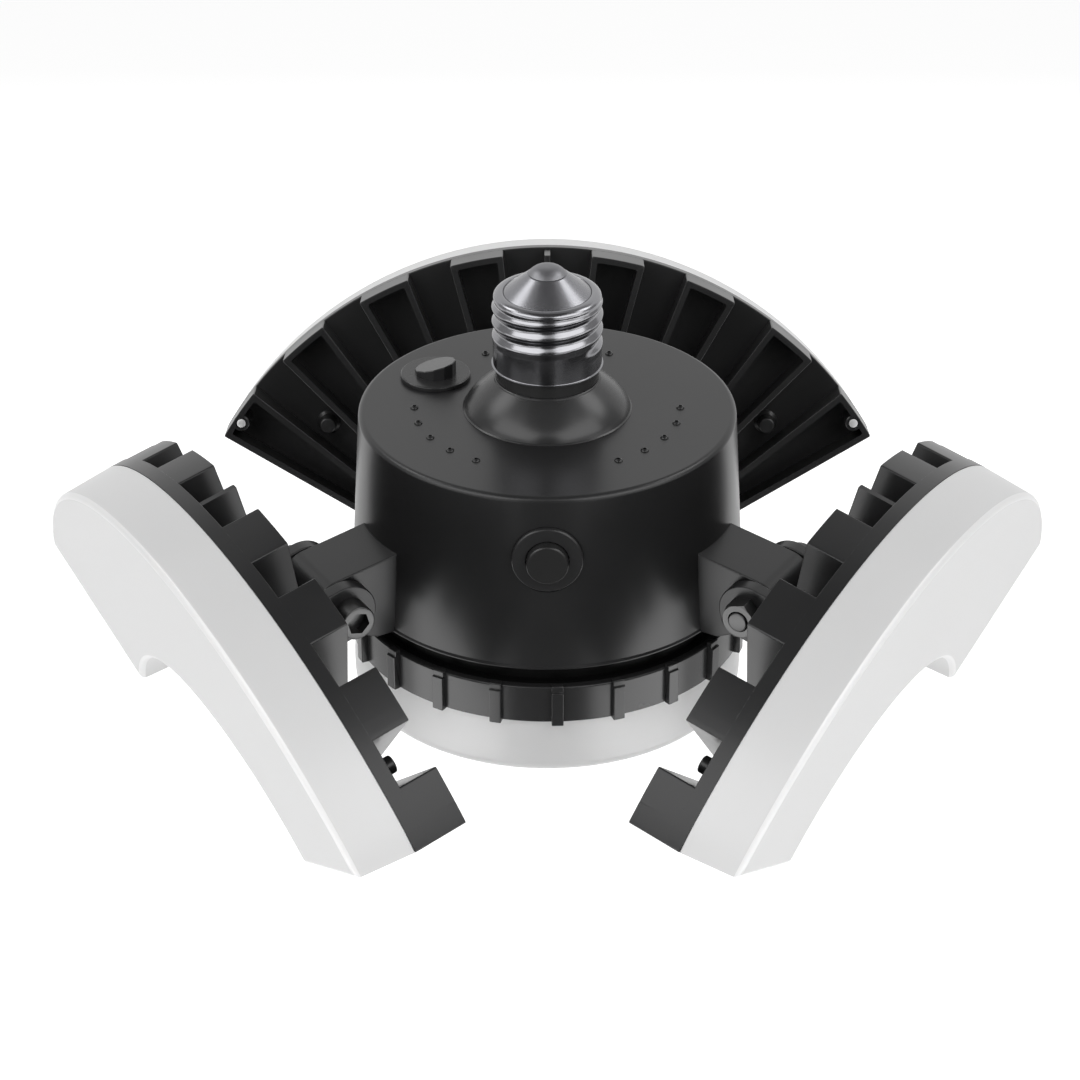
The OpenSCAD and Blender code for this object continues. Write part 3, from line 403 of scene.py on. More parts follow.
def lathe(bm, outline, steps=ROUND_STEPS, matrix=None):
    """Turn a closed outline of (radius, height) about Z. Points on the axis become one."""
    place = matrix or Matrix.Identity(4)
    rows = []
    for r, z in outline:
        if r < ON_AXIS:
            rows.append([bm.verts.new(place @ Vector((0, 0, z)) * MM)])
        else:
            rows.append([bm.verts.new(place @ Vector(p) * MM) for p in lift(circle(r, steps), z)])
    for a, b in zip(rows, rows[1:] + rows[:1]):
        if len(a) == 1 and len(b) == 1:
            continue
        for i in range(steps):
            j = (i + 1) % steps
            if len(a) == 1:
                bm.faces.new((a[0], b[j], b[i]))
            elif len(b) == 1:
                bm.faces.new((a[i], a[j], b[0]))
            else:
                bm.faces.new((a[i], a[j], b[j], b[i]))


def rod(bm, r, low, high, steps, matrix=None):
    """A plain cylinder, to add or to cut with."""
    lathe(bm, [(0, low), (r, low), (r, high), (0, high)], steps, matrix)


def plate(bm, outline, z0, z1, edge, matrix=None, steps=3):
    """Extrude an outline from z0 to z1. Both rims are rounded by edge, or square if it is 0."""
    place = matrix or Matrix.Identity(4)
    area = sum(p[0] * q[1] - q[0] * p[1] for p, q in zip(outline, outline[1:] + outline[:1]))
    if area < 0:
        outline = outline[::-1]
    levels = [(z0, 0), (z1, 0)]
    if edge:
        curve = [(edge * inn, edge * down) for inn, down in quarter(steps)]
        levels = [(z0 + down, d) for d, down in reversed(curve)]
        levels += [(z1 - down, d) for d, down in curve]
    loops = []
    for z, d in levels:
        flat = inset(outline, d) if d else outline
        loops.append([place @ Vector(p) for p in lift(flat, z)])
    stack(bm, loops)


def add(name, data):
    obj = bpy.data.objects.new(name, data)
    bpy.context.scene.collection.objects.link(obj)
    return obj


def finished(bm, name="scratch"):
    """The mesh of what was under construction, its faces looking out."""
    bmesh.ops.recalc_face_normals(bm, faces=bm.faces)
    mesh = bpy.data.meshes.new(name)
    bm.to_mesh(mesh)
    bm.free()
    return mesh


def scratch(bm):
    return add("scratch", finished(bm))


def boolean(base, others, operation):
    """Cut or join scratch objects, and return the new mesh."""
    for other in others:
        mod = base.modifiers.new("b", "BOOLEAN")
        mod.operation = operation
        mod.solver = "MANIFOLD"
        mod.object = other
    bpy.context.view_layer.update()
    graph = bpy.context.evaluated_depsgraph_get()
    mesh = bpy.data.meshes.new_from_object(base.evaluated_get(graph))
    for obj in [base] + others:
        bpy.data.objects.remove(obj)
    assert mesh.polygons, operation
    return mesh


def dress(name, mesh, slot, body, nodes, sharp=32, weighted=True):
    """Turn a mesh into an object that rides on a body and replaces CAD nodes."""
    mesh.materials.clear()
    mesh.materials.append(MAT[slot])
    mesh.polygons.foreach_set("use_smooth", [True] * len(mesh.polygons))
    mesh.set_sharp_from_angle(angle=math.radians(sharp))
    obj = add(name, mesh)
    if weighted:
        mod = obj.modifiers.new("normals", "WEIGHTED_NORMAL")
        mod.keep_sharp = True
    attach(obj, body)
    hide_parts(*nodes)
    return obj


def piece(name, bm, slot, body, nodes, sharp=32, weighted=True):
    return dress(name, finished(bm, name), slot, body, nodes, sharp, weighted)


# Screw cap

def ease(x):
    x = min(1.0, max(0.0, x))
    return x * x * (3 - 2 * x)


def thread_radius(a, z):
    """The rolled thread at azimuth a and height z. It rises from the skirt and fades at the top."""
    turn = (z - CREST_Z) / PITCH - a / 360
    k = round(turn)
    share = turn - k
    along = 360 * k + a
    bump = 0.5 + 0.5 * math.cos(2 * math.pi * share)
    crest = ease((along - THREAD_START) / THREAD_RISE)
    last = along - 360 if share < 0 else along
    groove = ease((last - THREAD_START) / THREAD_RISE)
    keep = ease((THREAD_TOP - z) / THREAD_FADE)
    return (SKIRT_R - GROOVE * (keep * groove * (1 - bump) + (1 - keep) * SHOULDER_SHARE)
            + CREST_RISE * bump * crest * keep)


def screw_shell():
    steps, rows = 180, 110
    bm = bmesh.new()

    def ring(r, z):
        return lift(circle(r, steps), z)

    loops = [ring(SHELL_BORE, -RIM_H)] + [ring(SKIRT_R + out, z) for out, z in RIM_PROFILE]
    for j in range(rows + 1):
        z = THREAD_FOOT + (THREAD_TOP - THREAD_FOOT) * j / rows
        radii = [thread_radius(360 * i / steps, z) for i in range(steps)]
        loops.append([(r * x, r * y, z) for r, (x, y) in zip(radii, circle(1, steps))])
    top_r = SKIRT_R - GROOVE * SHOULDER_SHARE
    crown = SHOULDER_R + SHOULDER_EDGE
    for k in range(1, SHOULDER_STEPS + 1):
        a = math.radians(90 * k / SHOULDER_STEPS)
        loops.append(ring(crown + (top_r - crown) * math.cos(a),
                          THREAD_TOP + (CROWN_Z - THREAD_TOP) * math.sin(a)))
    loops += [ring(SHOULDER_R + 0.1, CROWN_Z - 0.05), ring(SHOULDER_R, CROWN_Z - 0.15),
              ring(SHOULDER_R, CROWN_Z - CROWN_LIP), ring(SHELL_BORE, THREAD_TOP - 0.5)]
    stack(bm, loops, closed=True)
    piece("screw_shell_rolled", bm, "cap_metal", "main_body", ["screw_shell"], sharp=60,
          weighted=False)


def cap_top():
    foot = CROWN_Z - CROWN_LIP
    bm = bmesh.new()
    side = SHOULDER_R - INSULATOR_PLAY
    outline = [(STEM_R, foot), (side, foot), (side, CROWN_Z - 0.16, 0.08),
               (side - 0.25, CROWN_Z + 0.05, 0.2),
               (CONTACT_R + 0.2, INSULATOR_TOP - 0.1, 0.4), (CONTACT_R - 0.3, INSULATOR_TOP, 0.1),
               (STEM_R, INSULATOR_TOP)]
    lathe(bm, rounded(outline), CAP_STEPS)
    piece("cap_insulator_glazed", bm, "cap_insulator", "main_body", ["cap_insulator"], sharp=50)
    bm = bmesh.new()
    top = INSULATOR_TOP + CONTACT_H
    stem, seat, low = (INSULATOR_TOP - STEM_DEPTH, INSULATOR_TOP - CONTACT_SINK,
                       INSULATOR_TOP + CONTACT_SINK)
    outline = [(0, stem), (STEM_R, stem), (STEM_R, seat), (CONTACT_R - 0.15, seat)]
    for k in range(DOME_STEPS + 1):
        share = 1 - k / DOME_STEPS
        outline.append((CONTACT_R * share, low + (top - low) * (1 - share ** DOME_POWER)))
    lathe(bm, outline, KNOB_STEPS)
    tip = piece("centre_contact_solder", bm, "cap_metal", "main_body", ["centre_contact"],
                sharp=50)
    tip.data.materials[0] = MAT["solder"]


# Neck and drum

def collar_and_neck():
    bore = SHELL_BORE - SPIGOT_PLAY
    bm = bmesh.new()
    lathe(bm, rounded([(CABLE_R, COLLAR_Z), (COLLAR_R, COLLAR_Z, 0.1), (COLLAR_R, -RIM_H, 0.1),
                       (bore, -RIM_H), (bore, SPIGOT_H), (CABLE_R, SPIGOT_H)]))
    piece("neck_collar_turned", bm, "black_plastic", "main_body", ["neck_collar"])
    bm = bmesh.new()
    top = DECK_Z + NECK_H
    tip = COLLAR_R + 0.5
    outline = [(NECK_R - 4, DECK_Z), (NECK_R, DECK_Z), (NECK_R, DECK_Z + 0.1),
               (NECK_R - 0.3, DECK_Z + 0.4)]
    # The hollow side of the cone, through radii and heights above the deck.
    low, bend, high = (NECK_R - 0.35, 0.42), (NECK_R - 1.3, 3.3), (tip, NECK_H - 0.45)
    for k in range(CONE_STEPS + 1):
        t = k / CONE_STEPS
        a, b, c = (1 - t) ** 2, 2 * t * (1 - t), t ** 2
        outline.append((a * low[0] + b * bend[0] + c * high[0],
                        DECK_Z + a * low[1] + b * bend[1] + c * high[1]))
    outline += [(tip - 0.1, top - 0.15), (tip - 0.3, top), (CABLE_R, top), (CABLE_R, top - 2)]
    lathe(bm, outline)
    piece("neck_cone_moulded", bm, "dark_plastic", "main_body", ["neck_cone"])


def drum_radius(drop):
    return DRUM_TOP_R + DRUM_SLOPE * drop


def bracket_outline():
    """Side view of a bracket: x is out from the axis, y is height."""
    inner = DRUM_LOW_R - WALL
    return ([(inner, DECK_Z - BRACKET_DROP)]
            + arc(HINGE_R, PIVOT_Z, NOSE_R, 90 - BRACKET_LEAN, -90, 22)
            + [(DRUM_LOW_R + FOOT, DRUM_FOOT), (inner, DRUM_FOOT)])


def vent_places(azimuth):
    return [turned(azimuth + (i - (VENT_COUNT - 1) / 2) * VENT_STEP, VENT_RING)
            for i in range(VENT_COUNT)]


def drum_shell():
    bm = bmesh.new()
    lathe(bm, rounded([(0, DECK_Z - WALL), (DRUM_TOP_R - WALL, DECK_Z - WALL, 1),
                       (DRUM_LOW_R - WALL, DRUM_FOOT), (DRUM_LOW_R + FOOT_LIP, DRUM_FOOT, 0.2),
                       (DRUM_LOW_R + FOOT_LIP, DRUM_FOOT + 0.35, 0.15),
                       (DRUM_LOW_R - 0.06, DRUM_FOOT + 0.95, 0.3),
                       (DRUM_TOP_R, DECK_Z, DRUM_EDGE), (0, DECK_Z)], 8))
    return scratch(bm)


def drum_brackets():
    bm = bmesh.new()
    for az in PANELS.values():
        plate(bm, bracket_outline(), -BRACKET_HALF, BRACKET_HALF, BRACKET_EDGE,
              turned(az) @ SIDEWAYS)
    return scratch(bm)


def drum_lips_and_posts():
    root = DECK_Z - 1
    lip = [(0, root), (VENT_LIP_R, root)]
    lip += [(x * VENT_LIP_R, DECK_Z + z * VENT_LIP_H) for x, z in arc(0, 0, 1, 0, 90, 8)]
    bm = bmesh.new()
    for az in PANELS.values():
        for at in vent_places(az):
            lathe(bm, lip, SCREW_STEPS, at)
    for az in POST_AZIMUTHS:
        rod(bm, POST_R, RING_TOP, root, PIN_STEPS, turned(az, POST_RING))
        rod(bm, STUD_R, DECK_Z - STUD_DROP, root, PIN_STEPS, turned(az, STUD_RING))
    return scratch(bm)


def drum_holes():
    """The cable hole, the vents, the bolt holes, and the seats of the sensor and the button."""
    over = DECK_Z + 1
    bm = bmesh.new()
    rod(bm, CABLE_R, DECK_Z - 4, over, KNOB_STEPS)
    for az in PANELS.values():
        for at in vent_places(az):
            rod(bm, VENT_R, DECK_Z - 3, over, VENT_STEPS, at)
        rod(bm, BOLT_HOLE_R, -12, 12, PIN_STEPS, turned(az, HINGE_R, PIVOT_Z) @ SIDEWAYS)
    rod(bm, SENSOR_HOLE_R, DECK_Z - 4, over, PIN_STEPS, turned(SENSOR_AZIMUTH, SENSOR_RING))
    wall_r = drum_radius(BUTTON_DROP)
    hole, seat_r, seat = BUTTON_R + BUTTON_GAP, BEZEL_R + 0.1, wall_r - BEZEL_SEAT
    lathe(bm, [(0, wall_r - 5), (hole, wall_r - 5), (hole, seat), (seat_r, seat),
               (seat_r, wall_r + 2), (0, wall_r + 2)], KNOB_STEPS, BUTTON_PLACE)
    return scratch(bm)


def driver_housing():
    drum = add("scratch", boolean(drum_shell(), [drum_brackets(), drum_lips_and_posts()], "UNION"))
    mesh = boolean(drum, [drum_holes()], "DIFFERENCE")
    dress("driver_housing_cast", mesh, "dark_metal", "main_body", ["driver_housing"])


def light_sensor():
    at = turned(SENSOR_AZIMUTH, SENSOR_RING, DECK_Z) @ SENSOR_TURN
    bm = bmesh.new()
    lathe(bm, rounded([(0, -SENSOR_STEM_H), (SENSOR_STEM_R, -SENSOR_STEM_H), (SENSOR_STEM_R, 0),
                       (FLANGE_R, 0, 0.1), (FLANGE_R, 0.95, 0.2),
                       (FLANGE_R - 0.3, FLANGE_T, 0.2), (0, FLANGE_T)]), CAP_STEPS, at)
    piece("light_sensor_flange", bm, "dark_plastic", "main_body", ["light_sensor_base"])
    bm = bmesh.new()
    base = rounded([p + (0.3,) for p in circle(CAP_R, CAP_FACETS)], 3)
    slope = math.tan(math.radians(CAP_SLOPE))
    loops = [[at @ Vector(p) for p in lift(base, FLANGE_T - 0.1)]]
    for inn, down in quarter(4):
        share = 1 - CAP_EDGE * inn / CAP_R
        top = [FLANGE_T + (CAP_H + (CAP_R - x * share) * slope - CAP_EDGE * down)
               for x, y in base]
        loops.append([at @ Vector((x * share, y * share, z)) for (x, y), z in zip(base, top)])
    stack(bm, loops)
    piece("light_sensor_lens", bm, "sensor_plastic", "main_body", ["light_sensor_cap"], sharp=40)


def push_button():
    back = drum_radius(BUTTON_DROP) - BEZEL_SEAT
    bm = bmesh.new()
    inner = BUTTON_R + BUTTON_GAP
    lathe(bm, rounded([(inner, back), (BEZEL_R, back), (BEZEL_R, back + BEZEL_T, 0.5),
                       (inner, back + BEZEL_T, 0.12)]), CAP_STEPS, BUTTON_PLACE)
    piece("button_bezel_ring", bm, "dark_plastic", "main_body", ["button_bezel"])
    lo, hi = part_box("push_button")
    stem, face = -hi.y / MM, -lo.y / MM
    collar, collar_r = stem + BUTTON_STEM_H, BUTTON_R + BUTTON_COLLAR_W
    bm = bmesh.new()
    lathe(bm, rounded([(0, stem), (BUTTON_STEM_R, stem, 0.2), (BUTTON_STEM_R, collar),
                       (collar_r, collar, 0.1), (collar_r, collar + BUTTON_COLLAR_T, 0.1),
                       (BUTTON_R, collar + BUTTON_COLLAR_T), (BUTTON_R, face, 0.5), (0, face)]),
          KNOB_STEPS, BUTTON_PLACE)
    piece("push_button_cap", bm, "black_plastic", "button", ["push_button"])


# Central lamp

def lock_ring():
    bm = bmesh.new()
    inner, lip = PLATE_FLANGE + 0.1, PLATE_FLANGE - RING_LIP
    seat = RING_TOP - PLATE_T
    lathe(bm, rounded([(inner, RING_TOP), (RING_R, RING_TOP, 0.5), (RING_R, RING_FOOT, 0.3),
                       (inner, RING_FOOT), (inner, seat - RING_LIP), (lip, seat - RING_LIP),
                       (lip, seat), (inner, seat)]))
    base = scratch(bm)
    bm = bmesh.new()
    root, out, foot = RING_R - RIB_ROOT, RING_R + RIB_RISE, RING_FOOT - 0.25
    profile = rounded([(root, foot, 0.1), (out, foot, 0.3), (out, RING_TOP - 0.9, 0.15),
                       (out - 0.5, RING_TOP - 0.8, 0.15), (out - 0.5, RING_TOP + RIB_TIP, 0.3),
                       (root, RING_TOP + RIB_TIP, 0.2)], 3)
    for i in range(RIBS):
        side = turned(RIB_AZIMUTH + 270 + 360 * i / RIBS) @ SIDEWAYS
        plate(bm, profile, -RIB_W / 2, RIB_W / 2, RIB_EDGE, side, 2)
    mesh = boolean(base, [scratch(bm)], "UNION")
    dress("lock_ring_ribbed", mesh, "dark_plastic", "main_body", ["lock_ring"])


def core_diffuser():
    w = DIFFUSER_WALL
    foot = RING_FOOT - CORE_H
    side, lip = CORE_R - CORE_INSET, RING_FOOT + CORE_LIP_H
    inside = [(0, foot + w), (CORE_R - CORE_EDGE, foot + w, 1.2),
              (CORE_R - w, foot + CORE_EDGE), (CORE_R - w, RING_FOOT - w),
              (PLATE_FLANGE - w, RING_FOOT), (PLATE_FLANGE - w, lip), (PLATE_FLANGE, lip),
              (PLATE_FLANGE, RING_FOOT)]
    # The wall bulges a little before it turns into the rounded foot.
    outside = [(CORE_R - 0.4, RING_FOOT, 0.2), (CORE_R, foot + 6, 12), (side, foot + CORE_EDGE)]
    outside += arc(side - CORE_EDGE, foot + CORE_EDGE, CORE_EDGE, -9, -90, 9)
    bm = bmesh.new()
    lathe(bm, rounded(inside + outside + [(0, foot)], 5))
    piece("core_diffuser_milky", bm, "milk_plastic", "main_body", ["core_diffuser"], sharp=40)


# Panels, lying flat

def flat_base_plate():
    bm = bmesh.new()

    def loop(inn, d, z):
        return lift(sector(PANEL_IN + inn, PANEL_R - inn, -PANEL_HALF, PANEL_HALF, d,
                           PANEL_STEPS, SINK_CORNER), z)

    loops = [loop(0, 0, 0)]
    for inn, down in quarter():
        d = SINK_EDGE * inn
        loops.append(loop(d, d + HAIR, SINK_BASE - SINK_EDGE * down))
    stack(bm, loops, "strip")
    return scratch(bm)


def flat_cell(bm, low, high):
    """A cell of the heat sink: four walls that taper upwards round a hole."""
    def outer(z, d):
        t = CELL_TAPER * z / SINK_H
        return lift(sector(PANEL_IN + d + t / 3, PANEL_R - d - t, low, high, d + t / 3 + HAIR,
                           CELL_STEPS, SINK_CORNER), z)

    def hole(z, d):
        w = CELL_WALL + CELL_TAPER * z / SINK_H / 3 - d
        return lift(sector(PANEL_IN + w, PANEL_R - w, low, high, w, CELL_STEPS,
                           CELL_HOLE_CORNER), z)

    loops = [hole(SINK_BASE - 1, 0.0), hole(SINK_H - CELL_EDGE, 0.0)]
    for inn, down in quarter()[1:]:
        loops.append(hole(SINK_H - CELL_EDGE * down, -CELL_EDGE * inn))
    for inn, down in reversed(quarter()):
        loops.append(outer(SINK_H - CELL_EDGE * down, CELL_EDGE * inn))
    loops.append(outer(0.02, 0.0))
    stack(bm, loops)


def flat_cells():
    """The cells on both sides of the spine, and the spine."""
    bm = bmesh.new()
    for k in range(CELLS):
        near = FIRST_CELL + k * CELL_PITCH
        flat_cell(bm, near, near + CELL_SPAN)
        flat_cell(bm, -near - CELL_SPAN, -near)
    near, far = PANEL_IN + SPINE_IN, PANEL_R - SPINE_OUT
    spine = [(near, -SPINE_HALF), (far, -SPINE_HALF), (far, SPINE_HALF), (near, SPINE_HALF)]
    plate(bm, spine, LUG_ROOT, SINK_H - SPINE_DROP, SINK_EDGE)
    return scratch(bm)


def flat_lugs():
    outline = ([(HINGE_REACH - LUG_R, LUG_ROOT), (HINGE_REACH + LUG_R, LUG_ROOT)]
               + arc(HINGE_REACH, HINGE_BACK, LUG_R, 0, 180, 32))
    bm = bmesh.new()
    for side in (-1, 1):
        upright = Matrix.Translation((0, side * (LUG_IN + LUG_T / 2), 0)) @ SIDEWAYS
        plate(bm, outline, -LUG_T / 2, LUG_T / 2, SINK_EDGE, upright)
    return scratch(bm)


def flat_pegs():
    """The pegs on their flared feet, and the posts of the corner screws."""
    top = SINK_BASE + PEG_H
    peg = rounded([(0, PEG_ROOT), (PEG_R + 1.2, PEG_ROOT), (PEG_R + 0.9, SINK_BASE + 0.3, 0.3),
                   (PEG_R, SINK_BASE + 1.2, 0.5), (PEG_R - 0.1, top, 0.5), (0, top)])
    post = [(0, PEG_ROOT), (CORNER_R, PEG_ROOT), (CORNER_R, SINK_H - 0.3),
            (CORNER_R - 0.3, SINK_H), (0, SINK_H)]
    bm = bmesh.new()
    for side in (-1, 1):
        lathe(bm, peg, PIN_STEPS, turned(side * PEG_ANGLE, PEG_RING))
        lathe(bm, post, PIN_STEPS, turned(side * CORNER_ANGLE, CORNER_RING))
    return scratch(bm)


def flat_holes():
    """The bolt's hole through both lugs, and the corner screws' countersunk holes."""
    bm = bmesh.new()
    rod(bm, BOLT_HOLE_R, -16, 16, PIN_STEPS,
        Matrix.Translation((HINGE_REACH, 0, HINGE_BACK)) @ SIDEWAYS)
    sunk, over = SINK_H - 0.4, SINK_H + 0.1
    for side in (-1, 1):
        lathe(bm, [(0, -1), (SCREW_HOLE_R, -1), (SCREW_HOLE_R, sunk), (1.4, sunk),
                   (1.55, over), (0, over)], SCREW_STEPS,
              turned(side * CORNER_ANGLE, CORNER_RING))
    return scratch(bm)


def flat_heat_sink():
    body = boolean(flat_base_plate(), [flat_cells(), flat_lugs(), flat_pegs()], "UNION")
    return boolean(add("scratch", body), [flat_holes()], "DIFFERENCE")


def flat_diffuser():
    """The milky cover: walls and front of one thickness, with rounded front edges."""
    def ring(z, d):
        depth = -z / DIFFUSER_H
        draft = DIFFUSER_DRAFT * depth
        pts = sector(PANEL_IN + draft + d, PANEL_R - draft - d, -PANEL_HALF, PANEL_HALF,
                     END_DRAFT * depth + d + HAIR, PANEL_STEPS)
        out = []
        for x, y in pts:
            r, a = math.hypot(x, y), math.degrees(math.atan2(y, x))
            # The outer wall turns in a little towards both ends.
            beyond = abs(a) - (PANEL_HALF - FACET_ANGLE)
            if beyond > 0 and r > PANEL_R - FACET_BAND:
                r -= FACET_DROP * beyond / FACET_ANGLE
            out.append((r * math.cos(math.radians(a)), r * math.sin(math.radians(a)), z))
        return out

    w, e = DIFFUSER_WALL, DIFFUSER_EDGE
    floor_z = -DIFFUSER_H + w
    loops = [ring(floor_z, w + 0.3), ring(floor_z + 0.3, w), ring(0, w)]
    loops += [ring(0, 0.3), ring(-0.1, 0.1), ring(-0.3, 0), ring(-0.5 * DIFFUSER_H, 0)]
    for inn, down in quarter(EDGE_STEPS):
        loops.append(ring(-DIFFUSER_H + e * down, e * inn))
    bm = bmesh.new()
    stack(bm, loops, "strip")
    return finished(bm)


def flat_bolt():
    bm = bmesh.new()
    tip = -(LUG_OUT + NUT_H + BOLT_OVER)
    top = LUG_OUT + HEAD_H
    lathe(bm, rounded([(0, tip), (BOLT_R - 0.1, tip, 0.35), (BOLT_R - 0.1, tip + 1.2),
                       (BOLT_R, tip + 1.3), (BOLT_R, LUG_OUT), (HEAD_R, LUG_OUT, 0.15),
                       (HEAD_R, top, 0.4), (0, top)]), BOLT_STEPS)
    bolt = scratch(bm)
    bm = bmesh.new()
    plate(bm, hexagon(SOCKET_FLATS), top - SOCKET_H, top + 1, 0)
    return boolean(bolt, [scratch(bm)], "DIFFERENCE")


def flat_nut():
    """A hexagon nut with its outer corners turned off, and its bore."""
    corner = NUT_FLATS / math.sqrt(3)
    low = -(LUG_OUT + NUT_H)
    bm = bmesh.new()
    plate(bm, rounded([p + (0.25,) for p in hexagon(NUT_FLATS)], 2), low, low + NUT_H, 0)
    nut = scratch(bm)
    bm = bmesh.new()
    lathe(bm, [(BOLT_HOLE_R, low - 1), (8, low - 1), (8, low + 0.8), (corner + 0.1, low + 0.45),
               (NUT_FLATS / 2, low), (BOLT_R + 0.15, low), (BOLT_HOLE_R, low + 0.12)], KNOB_STEPS)
    rod(bm, BOLT_HOLE_R, low - 2, low + 8, PIN_STEPS)
    return boolean(nut, [scratch(bm)], "DIFFERENCE")


def flat_washers():
    bm = bmesh.new()
    rim = NOSE_R - WASHER_MARGIN
    for side in (-1, 1):
        z0, z1 = sorted((side * BRACKET_HALF, side * LUG_IN))
        lathe(bm, [(BOLT_HOLE_R, z0), (rim, z0), (rim, z1), (BOLT_HOLE_R, z1)], BOLT_STEPS)
    return finished(bm)


def flat_corner_screws():
    outline = rounded([(0, SCREW_TIP), (SCREW_R, SCREW_TIP), (SCREW_R, SINK_H - 0.35),
                       (SCREW_HEAD_R, SINK_H - 0.3, 0.05), (SCREW_HEAD_R, SINK_H, 0.2),
                       (0, SINK_H + 0.12)])
    bm = bmesh.new()
    for side in (-1, 1):
        lathe(bm, outline, SCREW_STEPS, turned(side * CORNER_ANGLE, CORNER_RING))
    return finished(bm)


# Panels in their place

def panel_matrix(azimuth):
    return (Matrix.Rotation(math.radians(azimuth), 4, "Z")
            @ Matrix.Translation((HINGE_R * MM, 0, PIVOT_Z * MM))
            @ Matrix.Rotation(math.radians(-FOLD), 4, "Y")
            @ Matrix.Translation((-HINGE_REACH * MM, 0, -HINGE_BACK * MM)))


def paint_edge_highlight(obj, place):
    """The cover's rounded front edge gets a paler material: a painted highlight along it."""
    obj.data.materials.append(MAT["milk_painted_highlight"])
    back = place.inverted()
    turn = back.to_3x3()
    edge_top = (DIFFUSER_EDGE - DIFFUSER_H) * MM
    for face in obj.data.polygons:
        lean = -(turn @ face.normal).z
        if HIGHLIGHT_LEAN_FROM < lean < HIGHLIGHT_LEAN_TO and (back @ face.center).z < edge_top:
            face.material_index = 1


def panels():
    bolt_place = (Matrix.Translation((HINGE_REACH * MM, 0, HINGE_BACK * MM))
                  @ Matrix.Rotation(math.radians(-90), 4, "X"))
    as_made = Matrix.Identity(4)
    flat = [
        ("heat_sink", "heat_sink_cast", flat_heat_sink(), "dark_metal", as_made, 32),
        ("diffuser", "diffuser_milky", flat_diffuser(), "milk_plastic", as_made, 40),
        ("hinge_bolt", "hinge_bolt_black", flat_bolt(), "black_steel", bolt_place, 32),
        ("hinge_nut", "hinge_nut_black", flat_nut(), "black_steel", bolt_place, 32),
        ("hinge_washers", "hinge_washer_pair", flat_washers(), "washer_plastic", bolt_place, 32),
        ("screws", "corner_screw_pair", flat_corner_screws(), "zinc_screw", as_made, 32),
    ]
    for name, azimuth in PANELS.items():
        place = panel_matrix(azimuth)
        for node, new, mesh, slot, first, sharp in flat:
            copy = mesh.copy()
            copy.transform(place @ first)
            made = dress(f"{name}_{new}", copy, slot, f"{name}_panel", [f"{name}_{node}"], sharp)
            if slot == "milk_plastic":
                paint_edge_highlight(made, place)


def inner_pieces():
    """The CAD nodes that stay: they get their materials."""
    slots = {s["node"]: s["material_slot"] for s in frame["record"]["subparts"]}
    for node, obj in NODES.items():
        obj.data.materials.clear()
        obj.data.materials.append(MAT[slots[node]])
    # core_plate gets the near-black material: painted shade in the groove between drum and ring.
    NODES["core_plate"].data.materials[0] = MAT["groove"]


# Studio

def shown_white(tree, shader, lit):
    """The first shader to camera, glossy and transmission rays; the lit one to all others."""
    path = tree.nodes.new("ShaderNodeLightPath")
    share = path.outputs["Is Camera Ray"]
    for name in ("Is Glossy Ray", "Is Transmission Ray"):
        pick = tree.nodes.new("ShaderNodeMath")
        pick.operation = "MAXIMUM"
        tree.links.new(share, pick.inputs[0])
        tree.links.new(path.outputs[name], pick.inputs[1])
        share = pick.outputs[0]
    mix = tree.nodes.new("ShaderNodeMixShader")
    tree.links.new(share, mix.inputs["Fac"])
    tree.links.new(lit.outputs[0], mix.inputs[1])
    tree.links.new(shader.outputs[0], mix.inputs[2])
    return mix


def white_background(tree, strength):
    node = tree.nodes.new("ShaderNodeBackground")
    node.inputs["Color"].default_value = (1, 1, 1, 1)
    node.inputs["Strength"].default_value = strength
    return node


def world():
    made = bpy.data.worlds.new("studio")
    bpy.context.scene.world = made
    tree = empty_tree(made)
    out = tree.nodes.new("ShaderNodeOutputWorld")
    seen = white_background(tree, 1.0)
    lit = white_background(tree, WORLD_LIGHT)
    mix = shown_white(tree, seen, lit)
    tree.links.new(mix.outputs[0], out.inputs["Surface"])


def sheet(name, half):
    """A square sheet with a material of its own, whose tree is still empty."""
    bm = bmesh.new()
    bmesh.ops.create_grid(bm, x_segments=1, y_segments=1, size=half)
    mesh = bpy.data.meshes.new(name)
    bm.to_mesh(mesh)
    bm.free()
    mat = bpy.data.materials.new(name)
    mesh.materials.append(mat)
    return add(name, mesh), empty_tree(mat)


def aim(obj, where, target, front):
    obj.location = where
    obj.rotation_euler = (Vector(target) - Vector(where)).to_track_quat(front, "Y").to_euler()


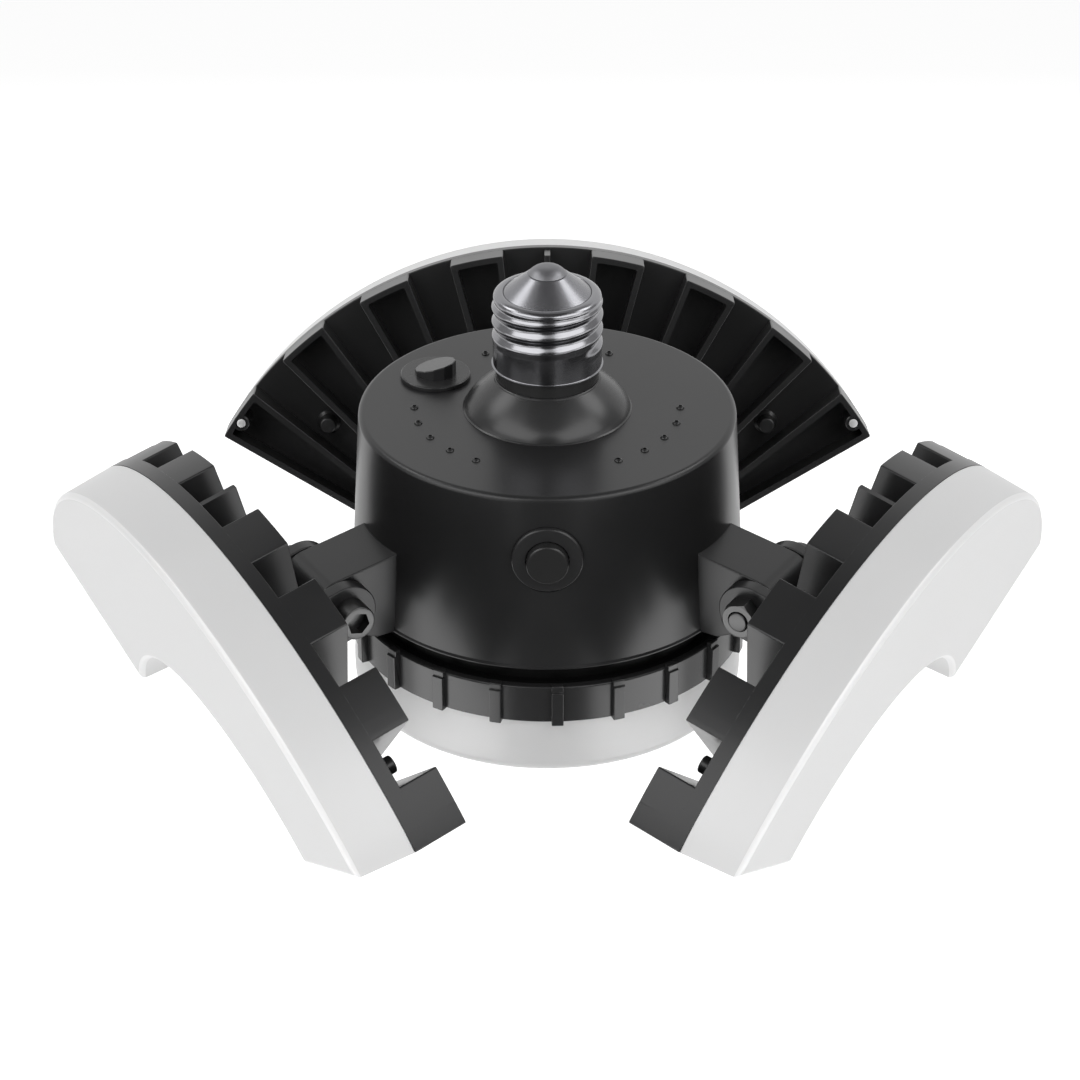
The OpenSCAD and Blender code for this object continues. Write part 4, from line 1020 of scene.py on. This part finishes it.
def floor():
    """A pale floor well below the lamp. Its own glow makes it white, and its shadow stays."""
    obj, tree = sheet("floor", FLOOR_REACH)
    obj.location = (0, 0, FLOOR_Z)
    out = tree.nodes.new("ShaderNodeOutputMaterial")
    pale = tree.nodes.new("ShaderNodeBsdfDiffuse")
    pale.inputs["Color"].default_value = (0.85, 0.85, 0.85, 1)
    glow = tree.nodes.new("ShaderNodeEmission")
    glow.inputs["Strength"].default_value = FLOOR_GLOW
    both = tree.nodes.new("ShaderNodeAddShader")
    tree.links.new(pale.outputs[0], both.inputs[0])
    tree.links.new(glow.outputs[0], both.inputs[1])
    mix = shown_white(tree, both, pale)
    tree.links.new(mix.outputs[0], out.inputs["Surface"])


def card(name, where, target, size, level):
    """A dark or bright card that only gloss sees. Dark and shiny parts get contrast from it."""
    obj, tree = sheet(name, 0.5)
    obj.scale = (size[0], size[1], 1)
    aim(obj, where, target, "Z")
    out = tree.nodes.new("ShaderNodeOutputMaterial")
    glow = tree.nodes.new("ShaderNodeEmission")
    glow.inputs["Strength"].default_value = level
    tree.links.new(glow.outputs[0], out.inputs["Surface"])
    obj.visible_camera = False
    obj.visible_diffuse = False
    obj.visible_transmission = False
    obj.visible_shadow = False


def lamp(name, where, size, level, mirrored):
    """A soft box. Level is its brightness, where 1 is white."""
    data = bpy.data.lights.new(name, "AREA")
    data.shape = "RECTANGLE"
    data.size, data.size_y = size
    data.energy = level * math.pi * size[0] * size[1]
    obj = add(name, data)
    aim(obj, where, MIDDLE, "-Z")
    obj.visible_glossy = mirrored


def studio():
    world()
    floor()
    for values in CARDS:
        card(*values)
    for side, side_name in ((-1, "left"), (1, "right")):
        def across(point):
            return point[0] * side, point[1], point[2]

        for name, where, target, size, level in SIDE_CARDS:
            card(f"{name}_{side_name}", across(where), across(target), size, level)
        for name, where, size, level, mirrored in SIDE_LAMPS:
            lamp(f"{name}_{side_name}", across(where), size, level, mirrored)
    for values in LAMPS:
        lamp(*values)


def camera():
    data = bpy.data.cameras.new("photo")
    data.lens = LENS
    data.sensor_width = SENSOR_WIDTH
    data.shift_x, data.shift_y = SHIFT
    obj = add("photo", data)
    obj.location = CAMERA_PLACE
    obj.rotation_euler = (math.radians(CAMERA_TILT), 0, 0)
    bpy.context.scene.camera = obj


camera()
screw_shell()
cap_top()
collar_and_neck()
driver_housing()
light_sensor()
push_button()
lock_ring()
core_diffuser()
panels()
inner_pieces()
studio()
bpy.context.scene.view_settings.view_transform = "Standard"
